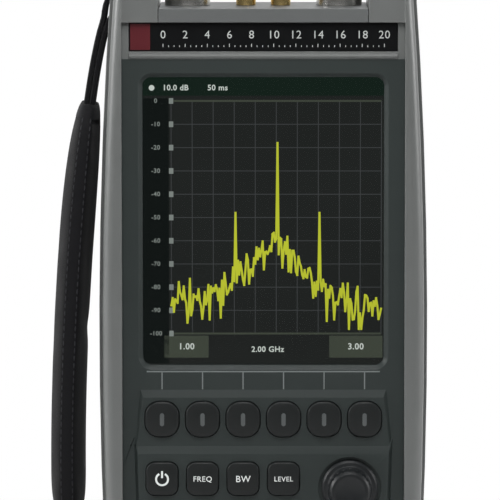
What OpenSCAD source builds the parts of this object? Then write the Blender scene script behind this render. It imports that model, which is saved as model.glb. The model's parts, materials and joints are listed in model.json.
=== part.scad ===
// Handheld spectrum analyzer with bowed soft bumpers, a tall display, a key field and a hand strap.
// It stands upright on its base. X runs across, Y runs from front to back and Z is up.
// Most pieces are drawn in a front view: x across, y up, z toward the viewer, then turned upright.

/* [Body] */
// Widest width over the bumpers
body_w = 152; // [146:1:165]
// Depth of the case between its front and rear faces
body_d = 56; // [54:1:64]
// Radius of the bowed sides
side_bow_r = 2300; // [1600:50:3000]
// Height of the widest place of the sides
bow_z = 150; // [140:1:175]
// Wall of the two case halves
case_wall = 3; // [2.4:0.1:3.4]
// Place of the case joint in front of the middle
split_d = 6; // [4:0.5:9]
// Play between the case and the bumpers
fit_gap = 0.1; // [0.05:0.05:0.3]

/* [Heights] */
// Height of the base panel under the case
base_h = 6; // [4:0.5:8]
// From the base panel to the middle of the lowest key row
lower_margin = 22.5; // [21:0.5:30]
// Distance between key rows
row_pitch = 19.5; // [19:0.1:22]
// From the top key row to the soft key row
softkey_rise = 27.5; // [26:0.5:32]
// From the soft key row to the lower edge of the window
window_rise = 24.8; // [22:0.1:30]
// Height of the display window
window_h = 132.6; // [110:0.2:140]
// From the window to the name strip
label_rise = 11.9; // [9:0.1:16]
// Height of the name strip
label_h = 13.3; // [9:0.1:16]
// From the name strip to the upper face of the top panel
crown_h = 6.4; // [5:0.1:10]
// Height of the ears above the top panel
ear_h = 26.5; // [22:0.5:34]

/* [Bumpers] */
// Wall of a bumper along the side of the case
bumper_wall = 5; // [4.5:0.1:6]
// Width of the bumper lip on the front and rear faces, half way up
lip_w = 11.2; // [9:0.1:14]
// Thickness of the lip on the front face
lip_front = 3; // [2:0.2:4]
// Thickness of the lip on the rear face
lip_rear = 2; // [1.4:0.2:3]
// Rounding of the bumper edges
bumper_edge_r = 5; // [3:0.5:6]
// Rounding of the outer corners seen from the front
corner_r = 14; // [10:1:18]
// Inset of the front part of the bumper side
bumper_step = 2; // [1:0.2:3]
// Place of the step in front of the middle
step_d = 10; // [8.6:0.2:14]
// Width of an ear at its foot
ear_w = 23; // [18:0.5:26]
// Rounding of the inner upper corner of an ear
ear_inner_r = 7; // [4:0.5:9]
// Step from the lip down to the inner part of an ear and to the top panel
ear_step = 1; // [0.6:0.1:1.6]
// Height of the bumper and base lips at the bottom of the front
base_lip_h = 10; // [8:0.5:12]

/* [Display] */
// Bezel between the bumper lip and the window
bezel_w = 9.5; // [7.5:0.1:12]
// Rounding of the window corners
window_r = 4; // [2:0.5:8]
// Width of the sloped edge around the window
window_slope = 2; // [1:0.1:3]
// Border of the glass hidden behind the bezel
glass_border = 2.8; // [2:0.1:3.4]
// Thickness of the gasket
gasket_t = 0.6; // [0.4:0.1:1]
// Thickness of the glass
glass_t = 1.6; // [1.2:0.1:2.4]
// Air gap between the glass and the display
air_gap = 0.3; // [0.2:0.05:0.5]
// Thickness of the display panel
lcd_t = 6; // [4:0.2:7]
// Thickness of the name strip
label_t = 1.2; // [0.8:0.1:1.8]
// Radius of the bead under the name strip
bead_r = 1.3; // [0.8:0.1:1.8]

/* [Keys] */
// Space between soft keys
softkey_space = 3; // [2.6:0.1:4]
// Height of a soft key
softkey_h = 16.4; // [14:0.1:17]
// Corner rounding of a soft key
softkey_r = 6.5; // [4:0.1:6.8]
// Space between hard keys
key_space = 4; // [3:0.1:5]
// Height of a hard key
key_h = 15.4; // [12:0.1:15.8]
// Corner rounding of a hard key
key_r = 4; // [2.5:0.1:6]
// Gap around each key
key_gap = 0.35; // [0.25:0.05:0.45]
// Overlap of a key flange behind the panel
flange_lip = 0.6; // [0.4:0.1:0.7]
// Thickness of a key flange
flange_t = 1.5; // [1:0.1:2]
// Height of a key above its terrace
key_proud = 2.2; // [1.8:0.1:3]
// Radius of the domed key top
key_dome_r = 40; // [30:1:80]
// Radius of the arched top of the wide key
wide_arch_r = 36; // [24:1:80]
// Travel of a key
key_travel = 1.2; // [0.8:0.1:1.4]
// Height of the soft key terrace above the face
soft_terrace_h = 1.2; // [0.8:0.1:1.6]
// Height of the keypad terrace above the face
key_terrace_h = 2.4; // [1.8:0.1:2.8]
// Slope width at the top of the soft key terrace
soft_slope = 3.5; // [2:0.1:4]
// Slope width at the top of the keypad terrace
key_slope = 7; // [4:0.1:7.5]

/* [Knob] */
// From the window edge to the knob axis
knob_inset = 15.5; // [15:0.1:18]
// Drop of the knob axis below the top key row
knob_drop = 4.5; // [3:0.1:5]
// Radius of the knob skirt
knob_skirt_r = 13; // [11:0.1:13.4]
// Radius of the knob grip
knob_grip_r = 9.8; // [8:0.1:10.4]
// Height of the knob above its well
knob_h = 13; // [10:0.2:16]
// Ring of the well around the knob skirt
well_ring = 1.6; // [0.8:0.1:1.8]
// Depth of the well
well_depth = 1.4; // [0.8:0.1:1.8]
// Radius of the encoder shaft
shaft_r = 3; // [2:0.1:3.2]
// Play of the shaft in its bush
shaft_play = 0.05; // [0.02:0.01:0.08]

/* [Connectors] */
// Thickness of the top panel
panel_t = 3.5; // [3:0.1:4.5]
// Place of the large connectors from the middle
rf_x = 35; // [28:0.5:36]
// Place of the small connectors from the middle
sma_x = 8; // [7:0.5:9]
// Radius of the large connector thread
rf_thread_r = 7.94; // [7.94:0.01:8]
// Radius of the small connector thread
sma_thread_r = 3.175; // [3.1:0.005:3.2]

/* [Back] */
// Width of the bail stand
bail_w = 88; // [70:1:90]
// Length of the bail stand below its hinge
bail_l = 116; // [90:1:118]
// Height of the bail hinge below the upper end of the case
bail_drop = 50; // [46:1:60]
// Thickness of the bail stand
bail_t = 5; // [4:0.2:5.2]
// Width of the battery
battery_w = 76; // [60:1:80]
// Height of the battery
battery_h = 78; // [60:1:78]
// Thickness of the battery
battery_t = 21; // [16:0.5:22]
// Thickness of the battery door
door_t = 3; // [2.4:0.1:3.4]

/* [Ports] */
// Height of the port door middle
port_z = 155; // [150:1:165]
// Length of the port door
port_l = 68; // [60:1:72]
// Width of the port door
port_w = 24; // [22:0.5:25]
// Radius of the headphone socket
jack_r = 1.8; // [1.76:0.01:1.9]

/* [Strap] */
// Thickness of the webbing
web_t = 5; // [3:0.2:6]
// Width of the webbing
web_w = 25; // [20:1:26]
// Thickness of the padded sleeve
pad_t = 15; // [10:0.5:15.5]
// Width of the padded sleeve
pad_w = 44; // [34:1:48]
// Bow of the strap away from the side
strap_bow = 26; // [22:1:40]
// Radius of the strap pin and of the anchor bar
strap_pin_r = 2; // [1.6:0.1:2.4]

/* [Output] */
// Piece to draw

/* [Hidden] */
$fn = 48;
hull_fn = 32;
bow_steps = 8;
eps = 0.05;

// Heights worked out from the bottom up.
row_low = base_h + lower_margin;
row_top = row_low + 3 * row_pitch;
soft_z = row_top + softkey_rise;
window_low = soft_z + window_rise;
window_high = window_low + window_h;
label_low = window_high + label_rise;
label_high = label_low + label_h;
crown_top = label_high + crown_h;
shell_top = crown_top - panel_t;
body_h = crown_top + ear_h;
window_z = (window_low + window_high) / 2;

// Depths, counted toward the front from the middle of the case.
face_d = body_d / 2;
rear_d = -body_d / 2;
inner_d = face_d - case_wall;
rear_inner_d = rear_d + case_wall;
lip_d = face_d + lip_front;
glass_d = inner_d - gasket_t;
lcd_d = glass_d - glass_t - air_gap;
lcd_back_d = lcd_d - lcd_t;
tab_t = 1;
seat_gap = 0.1;
flange_d = inner_d - seat_gap;
stub_h = 0.8;
stop_gap = 0.3;
mat_d = flange_d - flange_t - stub_h - key_travel - stop_gap;
mat_t = 1.5;
board_t = 1.6;
keyboard_d = mat_d - mat_t;
board_room = 3.5;
main_d = lcd_back_d - board_room;
main_back_d = main_d - board_t;
soft_face_d = face_d + soft_terrace_h;
key_face_d = face_d + key_terrace_h;

// Widths.
lip_x = body_w / 2 - lip_w;
window_w = 2 * (lip_x - bezel_w);
glass_w = window_w + 2 * glass_border;
glass_h = window_h + 2 * glass_border;
gasket_inset = 0.3;
lcd_margin = 3.6;
lcd_w = window_w + 2 * lcd_margin;
lcd_h = window_h + 2 * lcd_margin;
key_edge = 0.9;
label_edge = 3.3;
bead_drop = 2.2;
bead_sink = 0.4;
key_pitch = (window_w - 2 * key_edge + softkey_space) / 6;
softkey_w = key_pitch - softkey_space;
key_w = key_pitch - key_space;
case_inset = bumper_wall + fit_gap;
cavity_inset = case_inset + case_wall;

function half_w(z, inset) =
    sqrt(pow(side_bow_r - inset, 2) - pow(z - bow_z, 2)) - side_bow_r + body_w / 2;
function corner_x(z, inset) =
    sqrt(pow(side_bow_r - inset - corner_r, 2) - pow(z - bow_z, 2)) - side_bow_r + body_w / 2;
function col_x(i) = (i - 2.5) * key_pitch;
function row_z(i) = row_low + i * row_pitch;

label_w = 2 * (lip_x - label_edge);
ear_x = half_w(shell_top, 0) - ear_w;
foot_inset = 1.5;
foot_x = ear_x - foot_inset;
panel_gap = 0.2;

// Terraces of the key field, with the half widths of their edges.
soft_top = soft_z + 13.5;
soft_low = soft_z - 13;
soft_foot_w = window_w / 2 + 1.2;
soft_wide_w = window_w / 2 + 4.2;
soft_edge = 1.2;
key_top = soft_z - 9;
key_low = base_lip_h + 2;
key_foot_w = window_w / 2 + 1.5;
key_side = 1.8;
key_foot = 2;

// Knob and encoder.
knob_x = window_w / 2 - knob_inset;
knob_z = row_top - knob_drop;
well_r = knob_skirt_r + well_ring;
well_d = key_face_d - well_depth;
knob_lift = 0.4;
knob_low_d = well_d + knob_lift;
knob_top_d = well_d + knob_h;
skirt_t = 2.4;
bush_r = 4.5;
bush_top_d = key_face_d + 1.2;
bush_room_r = bush_r + 0.6;
bush_room_top_d = bush_top_d + 0.6;
knob_cap_t = 3;
shaft_top_d = knob_top_d - knob_cap_t;
encoder_w = 13;
flute_count = 20;
flute_r = 0.9;
flute_out = 0.35;
dish_r = 25;
dish_depth = 1;

// Posts and screws inside the case.
post_r = 2.6;
post_x = lcd_w / 2 + 0.4 + post_r;
lcd_post_inset = 14;
main_post_inset = 36;
lcd_post_z = [window_low + lcd_post_inset, window_high - lcd_post_inset];
main_post_z = [window_low + main_post_inset, window_high - main_post_inset];
mid_boss_z = window_z;
boss_r = 4;
mid_boss_r = 3.4;
boss_x = 52;
low_boss_z = base_h + case_wall + boss_r - 0.2;
high_boss_z = shell_top - case_wall - boss_r - 2;
boss_places = [
    [-boss_x, low_boss_z], [boss_x, low_boss_z],
    [-post_x, mid_boss_z], [post_x, mid_boss_z],
    [-boss_x, high_boss_z], [boss_x, high_boss_z]
];
case_screw_r = 1.5;
case_head_r = 2.4;
case_head_h = 2.6;
hex_r = 1.3;
hex_depth = 1.4;
case_screw_seat_d = rear_d + 4;
case_screw_tip_d = split_d + 8;
board_screw_r = 1;
board_head_r = 1.9;
board_head_h = 1.4;
board_screw_l = 5;
pilot_extra = 1;
key_post_r = 2.2;
key_posts = [for (c = [0, 2], r = [0, 2]) [col_x(c) + key_pitch / 2, row_z(r) + row_pitch / 2]];

// Boards.
keyboard_half_w = -col_x(0) + softkey_w / 2 + key_gap + flange_lip + 1.2;
keyboard_low = row_low - key_h / 2 - 3;
keyboard_high = soft_z + softkey_h / 2 + 3.5;
main_half_w = lcd_w / 2 - 2;
main_low = soft_z;
board_drop = 18;
main_high = shell_top - board_drop;
rf_reach = 50;
rf_low = window_high - rf_reach;
rf_drop = 22;
rf_high = shell_top - rf_drop;
rf_t = 19;

// Top panel pieces.
rf_collar_r = 10.5;
rf_collar_h = 4.5;
rf_thread_l = 10;
rf_body_r = 6.5;
rf_bore_r = 4.2;
rf_bore_depth = 9;
rf_pin_r = 1.5;
rf_tail_l = 14;
sma_collar_r = 4.6;
sma_collar_h = 3.5;
sma_thread_l = 6.5;
sma_body_r = 2.9;
sma_bore_r = 2.3;
sma_bore_depth = 4;
sma_pin_r = 0.65;
sma_tail_l = 10;
nut_h = 4;
rf_nut_r = 10.5;
rf_side = 8.5;
rf_half_w = rf_x + rf_nut_r + rf_side;
sma_nut_r = 5;
hole_play = 0.1;
lead_r = 1.8;
nut_room = 4.8;
top_cut_x = rf_x + rf_nut_r + nut_room;
top_cut_d = 18;

// Back pieces.
bail_z = shell_top - bail_drop;
bail_d = rear_d + 3;
bail_barrel_r = 2.7;
bail_pocket_t = 6;
bail_play = 0.5;
bail_side = 5;
pin_r = 1.5;
pin_play = 0.05;
pin_grip = 6;
pin_seat = 4;
bail_low = bail_z - bail_l;
bail_foot_r = 9;
bail_rim = 12;
bail_end = 18;
bail_panel_r = 5;
bail_panel_depth = 1.5;
notch_w = 26;
notch_h = 9;
battery_play = 0.5;
bay_wall = 2;
bay_half_w = battery_w / 2 + battery_play;
bay_low = base_h + case_wall + 14;
bay_high = bay_low + battery_h + 2 * battery_play;
bay_z = (bay_low + bay_high) / 2;
bay_floor_d = rear_d + door_t + battery_t + 2 * battery_play;
door_rim = 2.5;
door_r = 3;
groove_pitch = 4;
groove_w = 1.8;
groove_depth = 0.9;
groove_drop = 12;
door_play = 0.3;
door_w = 2 * bay_half_w + 2 * door_rim;
door_h = bay_high - bay_low + 2 * door_rim;

// Port door on the right side.
port_d = split_d - 13;
hinge_r = 1.2;
knuckle_r = 2;
hinge_d = port_d - port_w / 2 + knuckle_r;
hinge_x = half_w(port_z, 0) - 2.6;
door_half_t = 1.9;
port_play = 0.3;
port_notch_l = 14;
port_notch_w = 3;
port_grip_l = 20;
port_grip_w = 1.2;
port_grip_depth = 0.6;
port_grip_inset = 4;
bay_rim = 2;
port_face_x = half_w(port_z, cavity_inset) - 5;
block_depth = 12;
jack_z = port_z - port_l / 4 - 4;

// Strap, drawn as a band along a hanging curve that turns in to its lower anchor.
strap_d = -8;
pin_rise = 1.8;
pin_z = crown_top + pin_rise;
pin_x = -half_w(pin_z, 0) + 2.9;
anchor_z = base_h + 18;
anchor_x = -half_w(anchor_z, 0) - 6;
loop_play = 0.3;
pocket_play = 0.6;
pocket_w = web_w + 2 * pocket_play;
pocket_foot = 3;
web_run = 18;
web_sink = 2.5;
loop_r = strap_pin_r + loop_play + web_t / 2;
upper_pull = 14;
lower_pull = 46;
pull_out = 8;
pull_in = 2;
strap_knots = [
    [pin_x, pin_z],
    [pin_x - strap_bow / 2 - pull_out, pin_z - upper_pull],
    [anchor_x - strap_bow + pull_in, anchor_z - lower_pull],
    [anchor_x, anchor_z]
];
pad_start = 0.225;
pad_end = 0.70;
strap_turn = 0.75;
turn_lead = 16;
pad_shoulder = 0.15;
pad_foot = 0.06;
pad_corner = 0.07;
pad_steps = 28;
pad_sides = 24;
pad_fullness = 3;
seam_t = 0.6;
seam_w = 2;
anchor_seat_x = half_w(anchor_z, 0) - 2.5;
anchor_plate_t = 3;
anchor_ear_t = 3;
anchor_half_h = 9;
anchor_ear_r = 4.6;
anchor_play = 0.3;

function hang_at(t) =
    pow(1 - t, 3) * strap_knots[0] + 3 * t * pow(1 - t, 2) * strap_knots[1]
    + 3 * t * t * (1 - t) * strap_knots[2] + pow(t, 3) * strap_knots[3];
function hang_way(t) =
    3 * pow(1 - t, 2) * (strap_knots[1] - strap_knots[0])
    + 6 * t * (1 - t) * (strap_knots[2] - strap_knots[1])
    + 3 * t * t * (strap_knots[3] - strap_knots[2]);
turn_from = hang_at(strap_turn);
turn_over = turn_from + turn_lead * hang_way(strap_turn) / norm(hang_way(strap_turn));
turn_to = [anchor_x, anchor_z];
function turn_part(t) = (t - strap_turn) / (1 - strap_turn);
function turn_at(u) = pow(1 - u, 2) * turn_from + 2 * u * (1 - u) * turn_over + u * u * turn_to;
function turn_way(u) = 2 * (1 - u) * (turn_over - turn_from) + 2 * u * (turn_to - turn_over);
function strap_at(t) = t <= strap_turn ? hang_at(t) : turn_at(turn_part(t));
function strap_way(t) = t <= strap_turn ? hang_way(t) : turn_way(turn_part(t));
function strap_side(t) = [strap_way(t)[1], -strap_way(t)[0]] / norm(strap_way(t));
function round_end(s) = s >= 1 ? 1 : sqrt(1 - pow(1 - s, 2));
function pad_rise(t, upper, lower) = round_end((t - pad_start) / upper) * round_end((pad_end - t) / lower);
function pad_half(t) =
    web_t / 2 + seam_t + (pad_t - web_t - 2 * seam_t) / 2 * pad_rise(t, pad_shoulder, pad_foot);
function pad_wide(t) =
    web_w / 2 + seam_w + (pad_w - web_w - 2 * seam_w) / 2 * pad_rise(t, pad_corner, pad_corner);
function pad_full(v) = sign(v) * pow(abs(v), 2 / pad_fullness);
function pad_point(t, a) =
    let (p = strap_at(t) + pad_half(t) * pad_full(cos(a)) * strap_side(t))
    [p[0], p[1], strap_d + pad_wide(t) * pad_full(sin(a))];
function pad_place(k) = pad_start + (pad_end - pad_start) * (1 - cos(180 * k / pad_steps)) / 2;
function band(a, b, n) = [for (k = [0 : n]) a + (b - a) * k / n];

// Turns a front view upright.
module front_view() {
    rotate([90, 0, 0]) children();
}

// A flat layer between two depths.
module layer(back, front) {
    translate([0, 0, back]) linear_extrude(front - back) children();
}

// A rectangle with round corners.
module soft_rect(w, h, r) {
    square([w - 2 * r, h], center = true);
    square([w, h - 2 * r], center = true);
    for (sx = [-1, 1], sy = [-1, 1]) {
        translate([sx * (w / 2 - r), sy * (h / 2 - r)]) circle(r);
    }
}

// The front outline of the body at an inset from the widest skin.
module bowed(inset, low, high) {
    polygon(concat(
        [for (k = [0 : bow_steps]) let (z = low + (high - low) * k / bow_steps) [half_w(z, inset), z]],
        [for (k = [bow_steps : -1 : 0]) let (z = low + (high - low) * k / bow_steps) [-half_w(z, inset), z]]
    ));
}

// A four-sided outline given by its half widths and heights.
module trapezoid(half_top, top, half_low, low) {
    polygon([[-half_low, low], [half_low, low], [half_top, top], [-half_top, top]]);
}

// A rod along x from one place to another.
module rod_x(from, to, r) {
    translate([from, 0, 0]) rotate([0, 90, 0]) cylinder(h = to - from, r = r);
}

// A rod along the upward direction of the front view.
module rod_up(from, to, r) {
    translate([0, to, 0]) rotate([90, 0, 0]) cylinder(h = to - from, r = r);
}

// Rounded ring that shapes one corner of the bumpers.
module edge_ring() {
    rotate_extrude($fn = hull_fn) translate([corner_r - bumper_edge_r, 0])
        circle(bumper_edge_r, $fn = hull_fn);
}

// The rounded outer form that both bumpers are cut from.
module envelope(inset) {
    hull() {
        for (d = [rear_d - lip_rear + bumper_edge_r, lip_d - bumper_edge_r], s = [-1, 1]) {
            for (z = [corner_r, body_h - corner_r]) {
                translate([s * corner_x(z, inset), z, d]) edge_ring();
            }
            for (k = [1 : bow_steps - 1]) {
                z = corner_r + (body_h - 2 * corner_r) * k / bow_steps;
                translate([s * (half_w(z, inset) - bumper_edge_r), z, d])
                    sphere(bumper_edge_r, $fn = hull_fn);
            }
        }
    }
}

// Front outline of the right bumper: rail, ear and foot.
module bumper_zone() {
    difference() {
        translate([0, -1]) square([body_w, body_h + 2]);
        translate([-1, base_lip_h]) square([lip_x + 1, label_high - base_lip_h]);
        translate([-1, -2]) square([foot_x + 1, base_lip_h + 2]);
        translate([-1, label_high - 1]) square([ear_x + 1, body_h]);
        difference() {
            translate([ear_x - 1, body_h - ear_inner_r]) square([ear_inner_r + 1, ear_inner_r + 2]);
            translate([ear_x + ear_inner_r, body_h - ear_inner_r]) circle(ear_inner_r);
        }
    }
}

module right_bumper_form() {
    difference() {
        intersection() {
            union() {
                intersection() {
                    envelope(0);
                    translate([0, 0, -body_d]) cube([body_w, body_h, body_d + step_d]);
                }
                intersection() {
                    envelope(bumper_step);
                    translate([0, 0, step_d]) cube([body_w, body_h, body_d]);
                }
            }
            layer(-body_d, body_d) bumper_zone();
        }
        layer(rear_d, face_d) bowed(bumper_wall, base_h, shell_top);
        translate([0, label_high, lip_d - ear_step]) cube([lip_x, body_h, lip_front]);
    }
}

// The pin that holds the upper strap loop, seated in the bumper at both ends.
module strap_pin() {
    translate([pin_x, pin_z, strap_d - pocket_w / 2 - pin_seat])
        cylinder(h = pocket_w + 2 * pin_seat, r = strap_pin_r);
}

module left_bumper() color([0.40, 0.41, 0.41]) front_view() difference() {
    mirror([1, 0, 0]) right_bumper_form();
    // Pocket of the upper strap pin and the run where the webbing leaves it.
    translate([pin_x - 2 * loop_r, pin_z - loop_r - pocket_foot, strap_d - pocket_w / 2])
        cube([3 * loop_r + pocket_play, 2 * loop_r + pocket_foot + pocket_play, pocket_w]);
    translate([-body_w, pin_z - web_run, strap_d - pocket_w / 2])
        cube([body_w - half_w(pin_z, 0) + web_sink, web_run, pocket_w]);
    strap_pin();
    // Seat of the lower strap anchor.
    translate([-body_w, anchor_z - anchor_half_h, strap_d - pocket_w / 2 - anchor_ear_t])
        cube([body_w - anchor_seat_x, 2 * anchor_half_h, pocket_w + 2 * anchor_ear_t]);
}

module right_bumper() color([0.40, 0.41, 0.41]) front_view() difference() {
    right_bumper_form();
    // Opening of the port door, its finger notch and the bores of its pin.
    translate([half_w(port_z, bumper_wall) - 1, port_z, port_d])
        translate([0, -port_l / 2 - port_play, -port_w / 2 - port_play])
            cube([body_w, port_l + 2 * port_play, port_w + 2 * port_play]);
    translate([hinge_x, port_z - port_notch_l / 2, port_d + port_w / 2])
        cube([body_w, port_notch_l, port_notch_w]);
    translate([hinge_x, 0, hinge_d])
        rod_up(port_z - port_l / 2 - pin_seat, port_z + port_l / 2 + pin_seat, hinge_r);
}

// Outline of the soft key terrace and of the keypad terrace.
module terraces() {
    hull() {
        layer(inner_d, face_d) trapezoid(soft_foot_w, soft_top, soft_wide_w, soft_low);
        layer(face_d, soft_face_d)
            trapezoid(soft_foot_w - soft_edge, soft_top - soft_slope, soft_wide_w - soft_edge, soft_low);
    }
    hull() {
        layer(inner_d, face_d) trapezoid(soft_wide_w, key_top, key_foot_w, key_low);
        layer(face_d, key_face_d)
            trapezoid(
                soft_wide_w - key_side, key_top - key_slope,
                key_foot_w - key_side, key_low + key_foot
            );
    }
}

// Opening of one key.
module key_opening(w, h, r) {
    soft_rect(w + 2 * key_gap, h + 2 * key_gap, r + key_gap);
}

// Openings of all keys.
module key_openings() {
    for (i = [0 : 5]) {
        translate([col_x(i), soft_z]) key_opening(softkey_w, softkey_h, softkey_r);
    }
    for (c = [0 : 3], r = [0 : 3]) {
        translate([col_x(c), row_z(r)]) key_opening(key_w, key_h, key_r);
    }
    for (c = [4, 5]) {
        translate([col_x(c), row_z(1)]) key_opening(key_w, key_h, key_r);
    }
    translate([col_x(4.5), row_z(0)]) key_opening(key_pitch + key_w, key_h, key_r);
}

// Pilot hole of a board screw whose head rests at the given depth.
module pilot_hole(seat) {
    layer(split_d, seat + board_screw_l + pilot_extra) circle(board_screw_r);
}

module front_case() color([0.22, 0.24, 0.24]) front_view() difference() {
    union() {
        difference() {
            layer(split_d, face_d) bowed(case_inset, base_h, shell_top);
            layer(split_d - 1, inner_d) bowed(cavity_inset, base_h + case_wall, shell_top - case_wall);
        }
        terraces();
        translate([0, label_low - bead_drop, face_d - bead_sink]) rod_x(-label_w / 2, label_w / 2, bead_r);
        for (s = [-1, 1]) {
            for (z = lcd_post_z) {
                translate([s * post_x, z]) layer(lcd_back_d + tab_t, inner_d + eps) circle(post_r);
            }
            for (z = main_post_z) {
                translate([s * post_x, z]) layer(main_d, inner_d + eps) circle(post_r);
            }
        }
        for (p = boss_places) {
            translate(p) layer(split_d, inner_d + eps) circle(abs(p[0]) == boss_x ? boss_r : post_r);
        }
        for (p = key_posts) {
            translate(p) layer(keyboard_d, inner_d + eps) circle(key_post_r);
        }
    }
    // Display window with its sloped edge.
    translate([0, window_z]) layer(split_d, lip_d) soft_rect(window_w, window_h, window_r);
    translate([0, window_z]) hull() {
        layer(face_d - window_slope, face_d - window_slope + eps) soft_rect(window_w, window_h, window_r);
        layer(face_d, face_d + eps)
            soft_rect(window_w + 2 * window_slope, window_h + 2 * window_slope, window_r + window_slope);
    }
    // Seat of the name strip.
    translate([0, label_low + label_h / 2]) layer(face_d - label_t, lip_d)
        square([label_w, label_h], center = true);
    // Key openings, knob well and encoder bush.
    layer(split_d, lip_d) key_openings();
    translate([knob_x, knob_z]) layer(well_d, lip_d) circle(well_r);
    translate([knob_x, knob_z]) layer(split_d, lip_d) circle(bush_r + hole_play);
    // Room for the connectors in the upper wall.
    translate([-top_cut_x, shell_top - case_wall - 1, split_d - 1])
        cube([2 * top_cut_x, case_wall + 2, top_cut_d - split_d + 1]);
    // Screw holes.
    for (s = [-1, 1]) {
        for (z = lcd_post_z) {
            translate([s * post_x, z]) pilot_hole(lcd_back_d);
        }
        for (z = main_post_z) {
            translate([s * post_x, z]) pilot_hole(main_back_d);
        }
    }
    for (p = boss_places) {
        translate(p) layer(split_d - 1, case_screw_tip_d + pilot_extra) circle(case_screw_r);
    }
    for (p = key_posts) {
        translate(p) pilot_hole(keyboard_d - board_t);
    }
}

module rear_case() color([0.22, 0.24, 0.24]) front_view() difference() {
    union() {
        difference() {
            layer(rear_d, split_d) bowed(case_inset, base_h, shell_top);
            layer(rear_inner_d, split_d + 1) bowed(cavity_inset, base_h + case_wall, shell_top - case_wall);
        }
        // Walls of the bail pocket and of the battery bay.
        translate([-bail_w / 2 - bail_play - bail_side, bail_low - notch_h - bay_wall, rear_d])
            cube([
                bail_w + 2 * bail_play + 2 * bail_side,
                bail_l + notch_h + bail_barrel_r + bail_play + 2 * bay_wall,
                bail_pocket_t + case_wall
            ]);
        translate([-bay_half_w - bay_wall, bay_low - bay_wall, rear_d])
            cube([
                2 * bay_half_w + 2 * bay_wall,
                bay_high - bay_low + 2 * bay_wall,
                bay_floor_d + bay_wall - rear_d
            ]);
        // Rim of the port bay.
        translate([port_face_x, port_z - port_l / 2 - bay_wall, port_d - port_w / 2])
            cube([half_w(port_z, cavity_inset) - port_face_x + 1, port_l + 2 * bay_wall, port_w]);
        for (p = boss_places) {
            translate(p) layer(rear_inner_d - eps, split_d)
                circle(abs(p[0]) == boss_x ? boss_r : mid_boss_r);
        }
    }
    // Bail pocket, its finger notch and the bores of its pins.
    translate([-bail_w / 2 - bail_play, bail_low - bail_play, rear_d - 1])
        cube([bail_w + 2 * bail_play, bail_l + bail_barrel_r + 2 * bail_play, bail_pocket_t + 1]);
    translate([-notch_w / 2, bail_low - notch_h, rear_d - 1])
        cube([notch_w, notch_h + 1, bail_pocket_t + 1]);
    translate([0, bail_z, bail_d])
        rod_x(-bail_w / 2 - bail_play - pin_seat, bail_w / 2 + bail_play + pin_seat, pin_r);
    // Battery bay and the seat of its door.
    translate([-bay_half_w, bay_low, rear_d - 1])
        cube([2 * bay_half_w, bay_high - bay_low, bay_floor_d - rear_d + 1]);
    translate([0, bay_z]) layer(rear_d - 1, rear_d + door_t)
        soft_rect(door_w + 2 * door_play, door_h + 2 * door_play, door_r + door_play);
    // Port bay.
    translate([port_face_x - 1, port_z - port_l / 2, port_d - port_w / 2 + bay_rim])
        cube([body_w, port_l, port_w - 2 * bay_rim]);
    // Room for the connectors in the upper wall.
    translate([-top_cut_x, shell_top - case_wall - 1, -top_cut_d])
        cube([2 * top_cut_x, case_wall + 2, top_cut_d + split_d + 1]);
    // Screw holes with sunk heads.
    for (p = boss_places) {
        translate(p) layer(rear_d - 1, split_d + 1) circle(case_screw_r + hole_play);
        translate(p) layer(rear_d - 1, case_screw_seat_d) circle(case_head_r + hole_play);
    }
}

module top_panel() color([0.42, 0.43, 0.43]) front_view() difference() {
    union() {
        translate([-ear_x + panel_gap, shell_top, rear_d]) cube([2 * (ear_x - panel_gap), panel_t, body_d]);
        translate([-ear_x + panel_gap, label_high, face_d])
            cube([2 * (ear_x - panel_gap), crown_top - label_high, lip_front - ear_step]);
    }
    for (s = [-1, 1]) {
        translate([s * rf_x, 0, 0]) rod_up(shell_top - 1, crown_top + 1, rf_body_r + hole_play);
        translate([s * sma_x, 0, 0]) rod_up(shell_top - 1, crown_top + 1, sma_body_r + hole_play);
    }
}

module base_panel() color([0.42, 0.43, 0.43]) front_view() {
    translate([-foot_x + panel_gap, 0, rear_d]) cube([2 * (foot_x - panel_gap), base_h, body_d]);
    translate([-foot_x + panel_gap, 0, face_d]) cube([2 * (foot_x - panel_gap), base_lip_h, lip_front]);
}

module label_plate() color([0.08, 0.08, 0.08]) front_view() {
    translate([0, label_low + label_h / 2]) layer(face_d - label_t, face_d)
        square([label_w - 2 * panel_gap, label_h - 2 * panel_gap], center = true);
}

module display_window() color([0.7, 0.75, 0.75, 0.4]) front_view() {
    translate([0, window_z]) layer(glass_d - glass_t, glass_d) soft_rect(glass_w, glass_h, window_r);
}

module display_gasket() color([0.05, 0.05, 0.05]) front_view() difference() {
    translate([0, window_z]) layer(glass_d, inner_d) soft_rect(glass_w, glass_h, window_r);
    translate([0, window_z]) layer(glass_d - 1, inner_d + 1)
        soft_rect(window_w + 2 * gasket_inset, window_h + 2 * gasket_inset, window_r);
}

module lcd_panel() color([0.12, 0.14, 0.13]) front_view() difference() {
    union() {
        translate([0, window_z]) layer(lcd_back_d, lcd_d) square([lcd_w, lcd_h], center = true);
        for (s = [-1, 1], z = lcd_post_z) {
            translate([s * (post_x + lcd_w / 2) / 2, z]) layer(lcd_back_d, lcd_back_d + tab_t)
                square([post_x - lcd_w / 2 + 2 * post_r, 2 * post_r], center = true);
        }
    }
    for (s = [-1, 1], z = lcd_post_z) {
        translate([s * post_x, z]) layer(lcd_back_d - 1, lcd_d) circle(board_screw_r + hole_play);
    }
}

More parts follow.
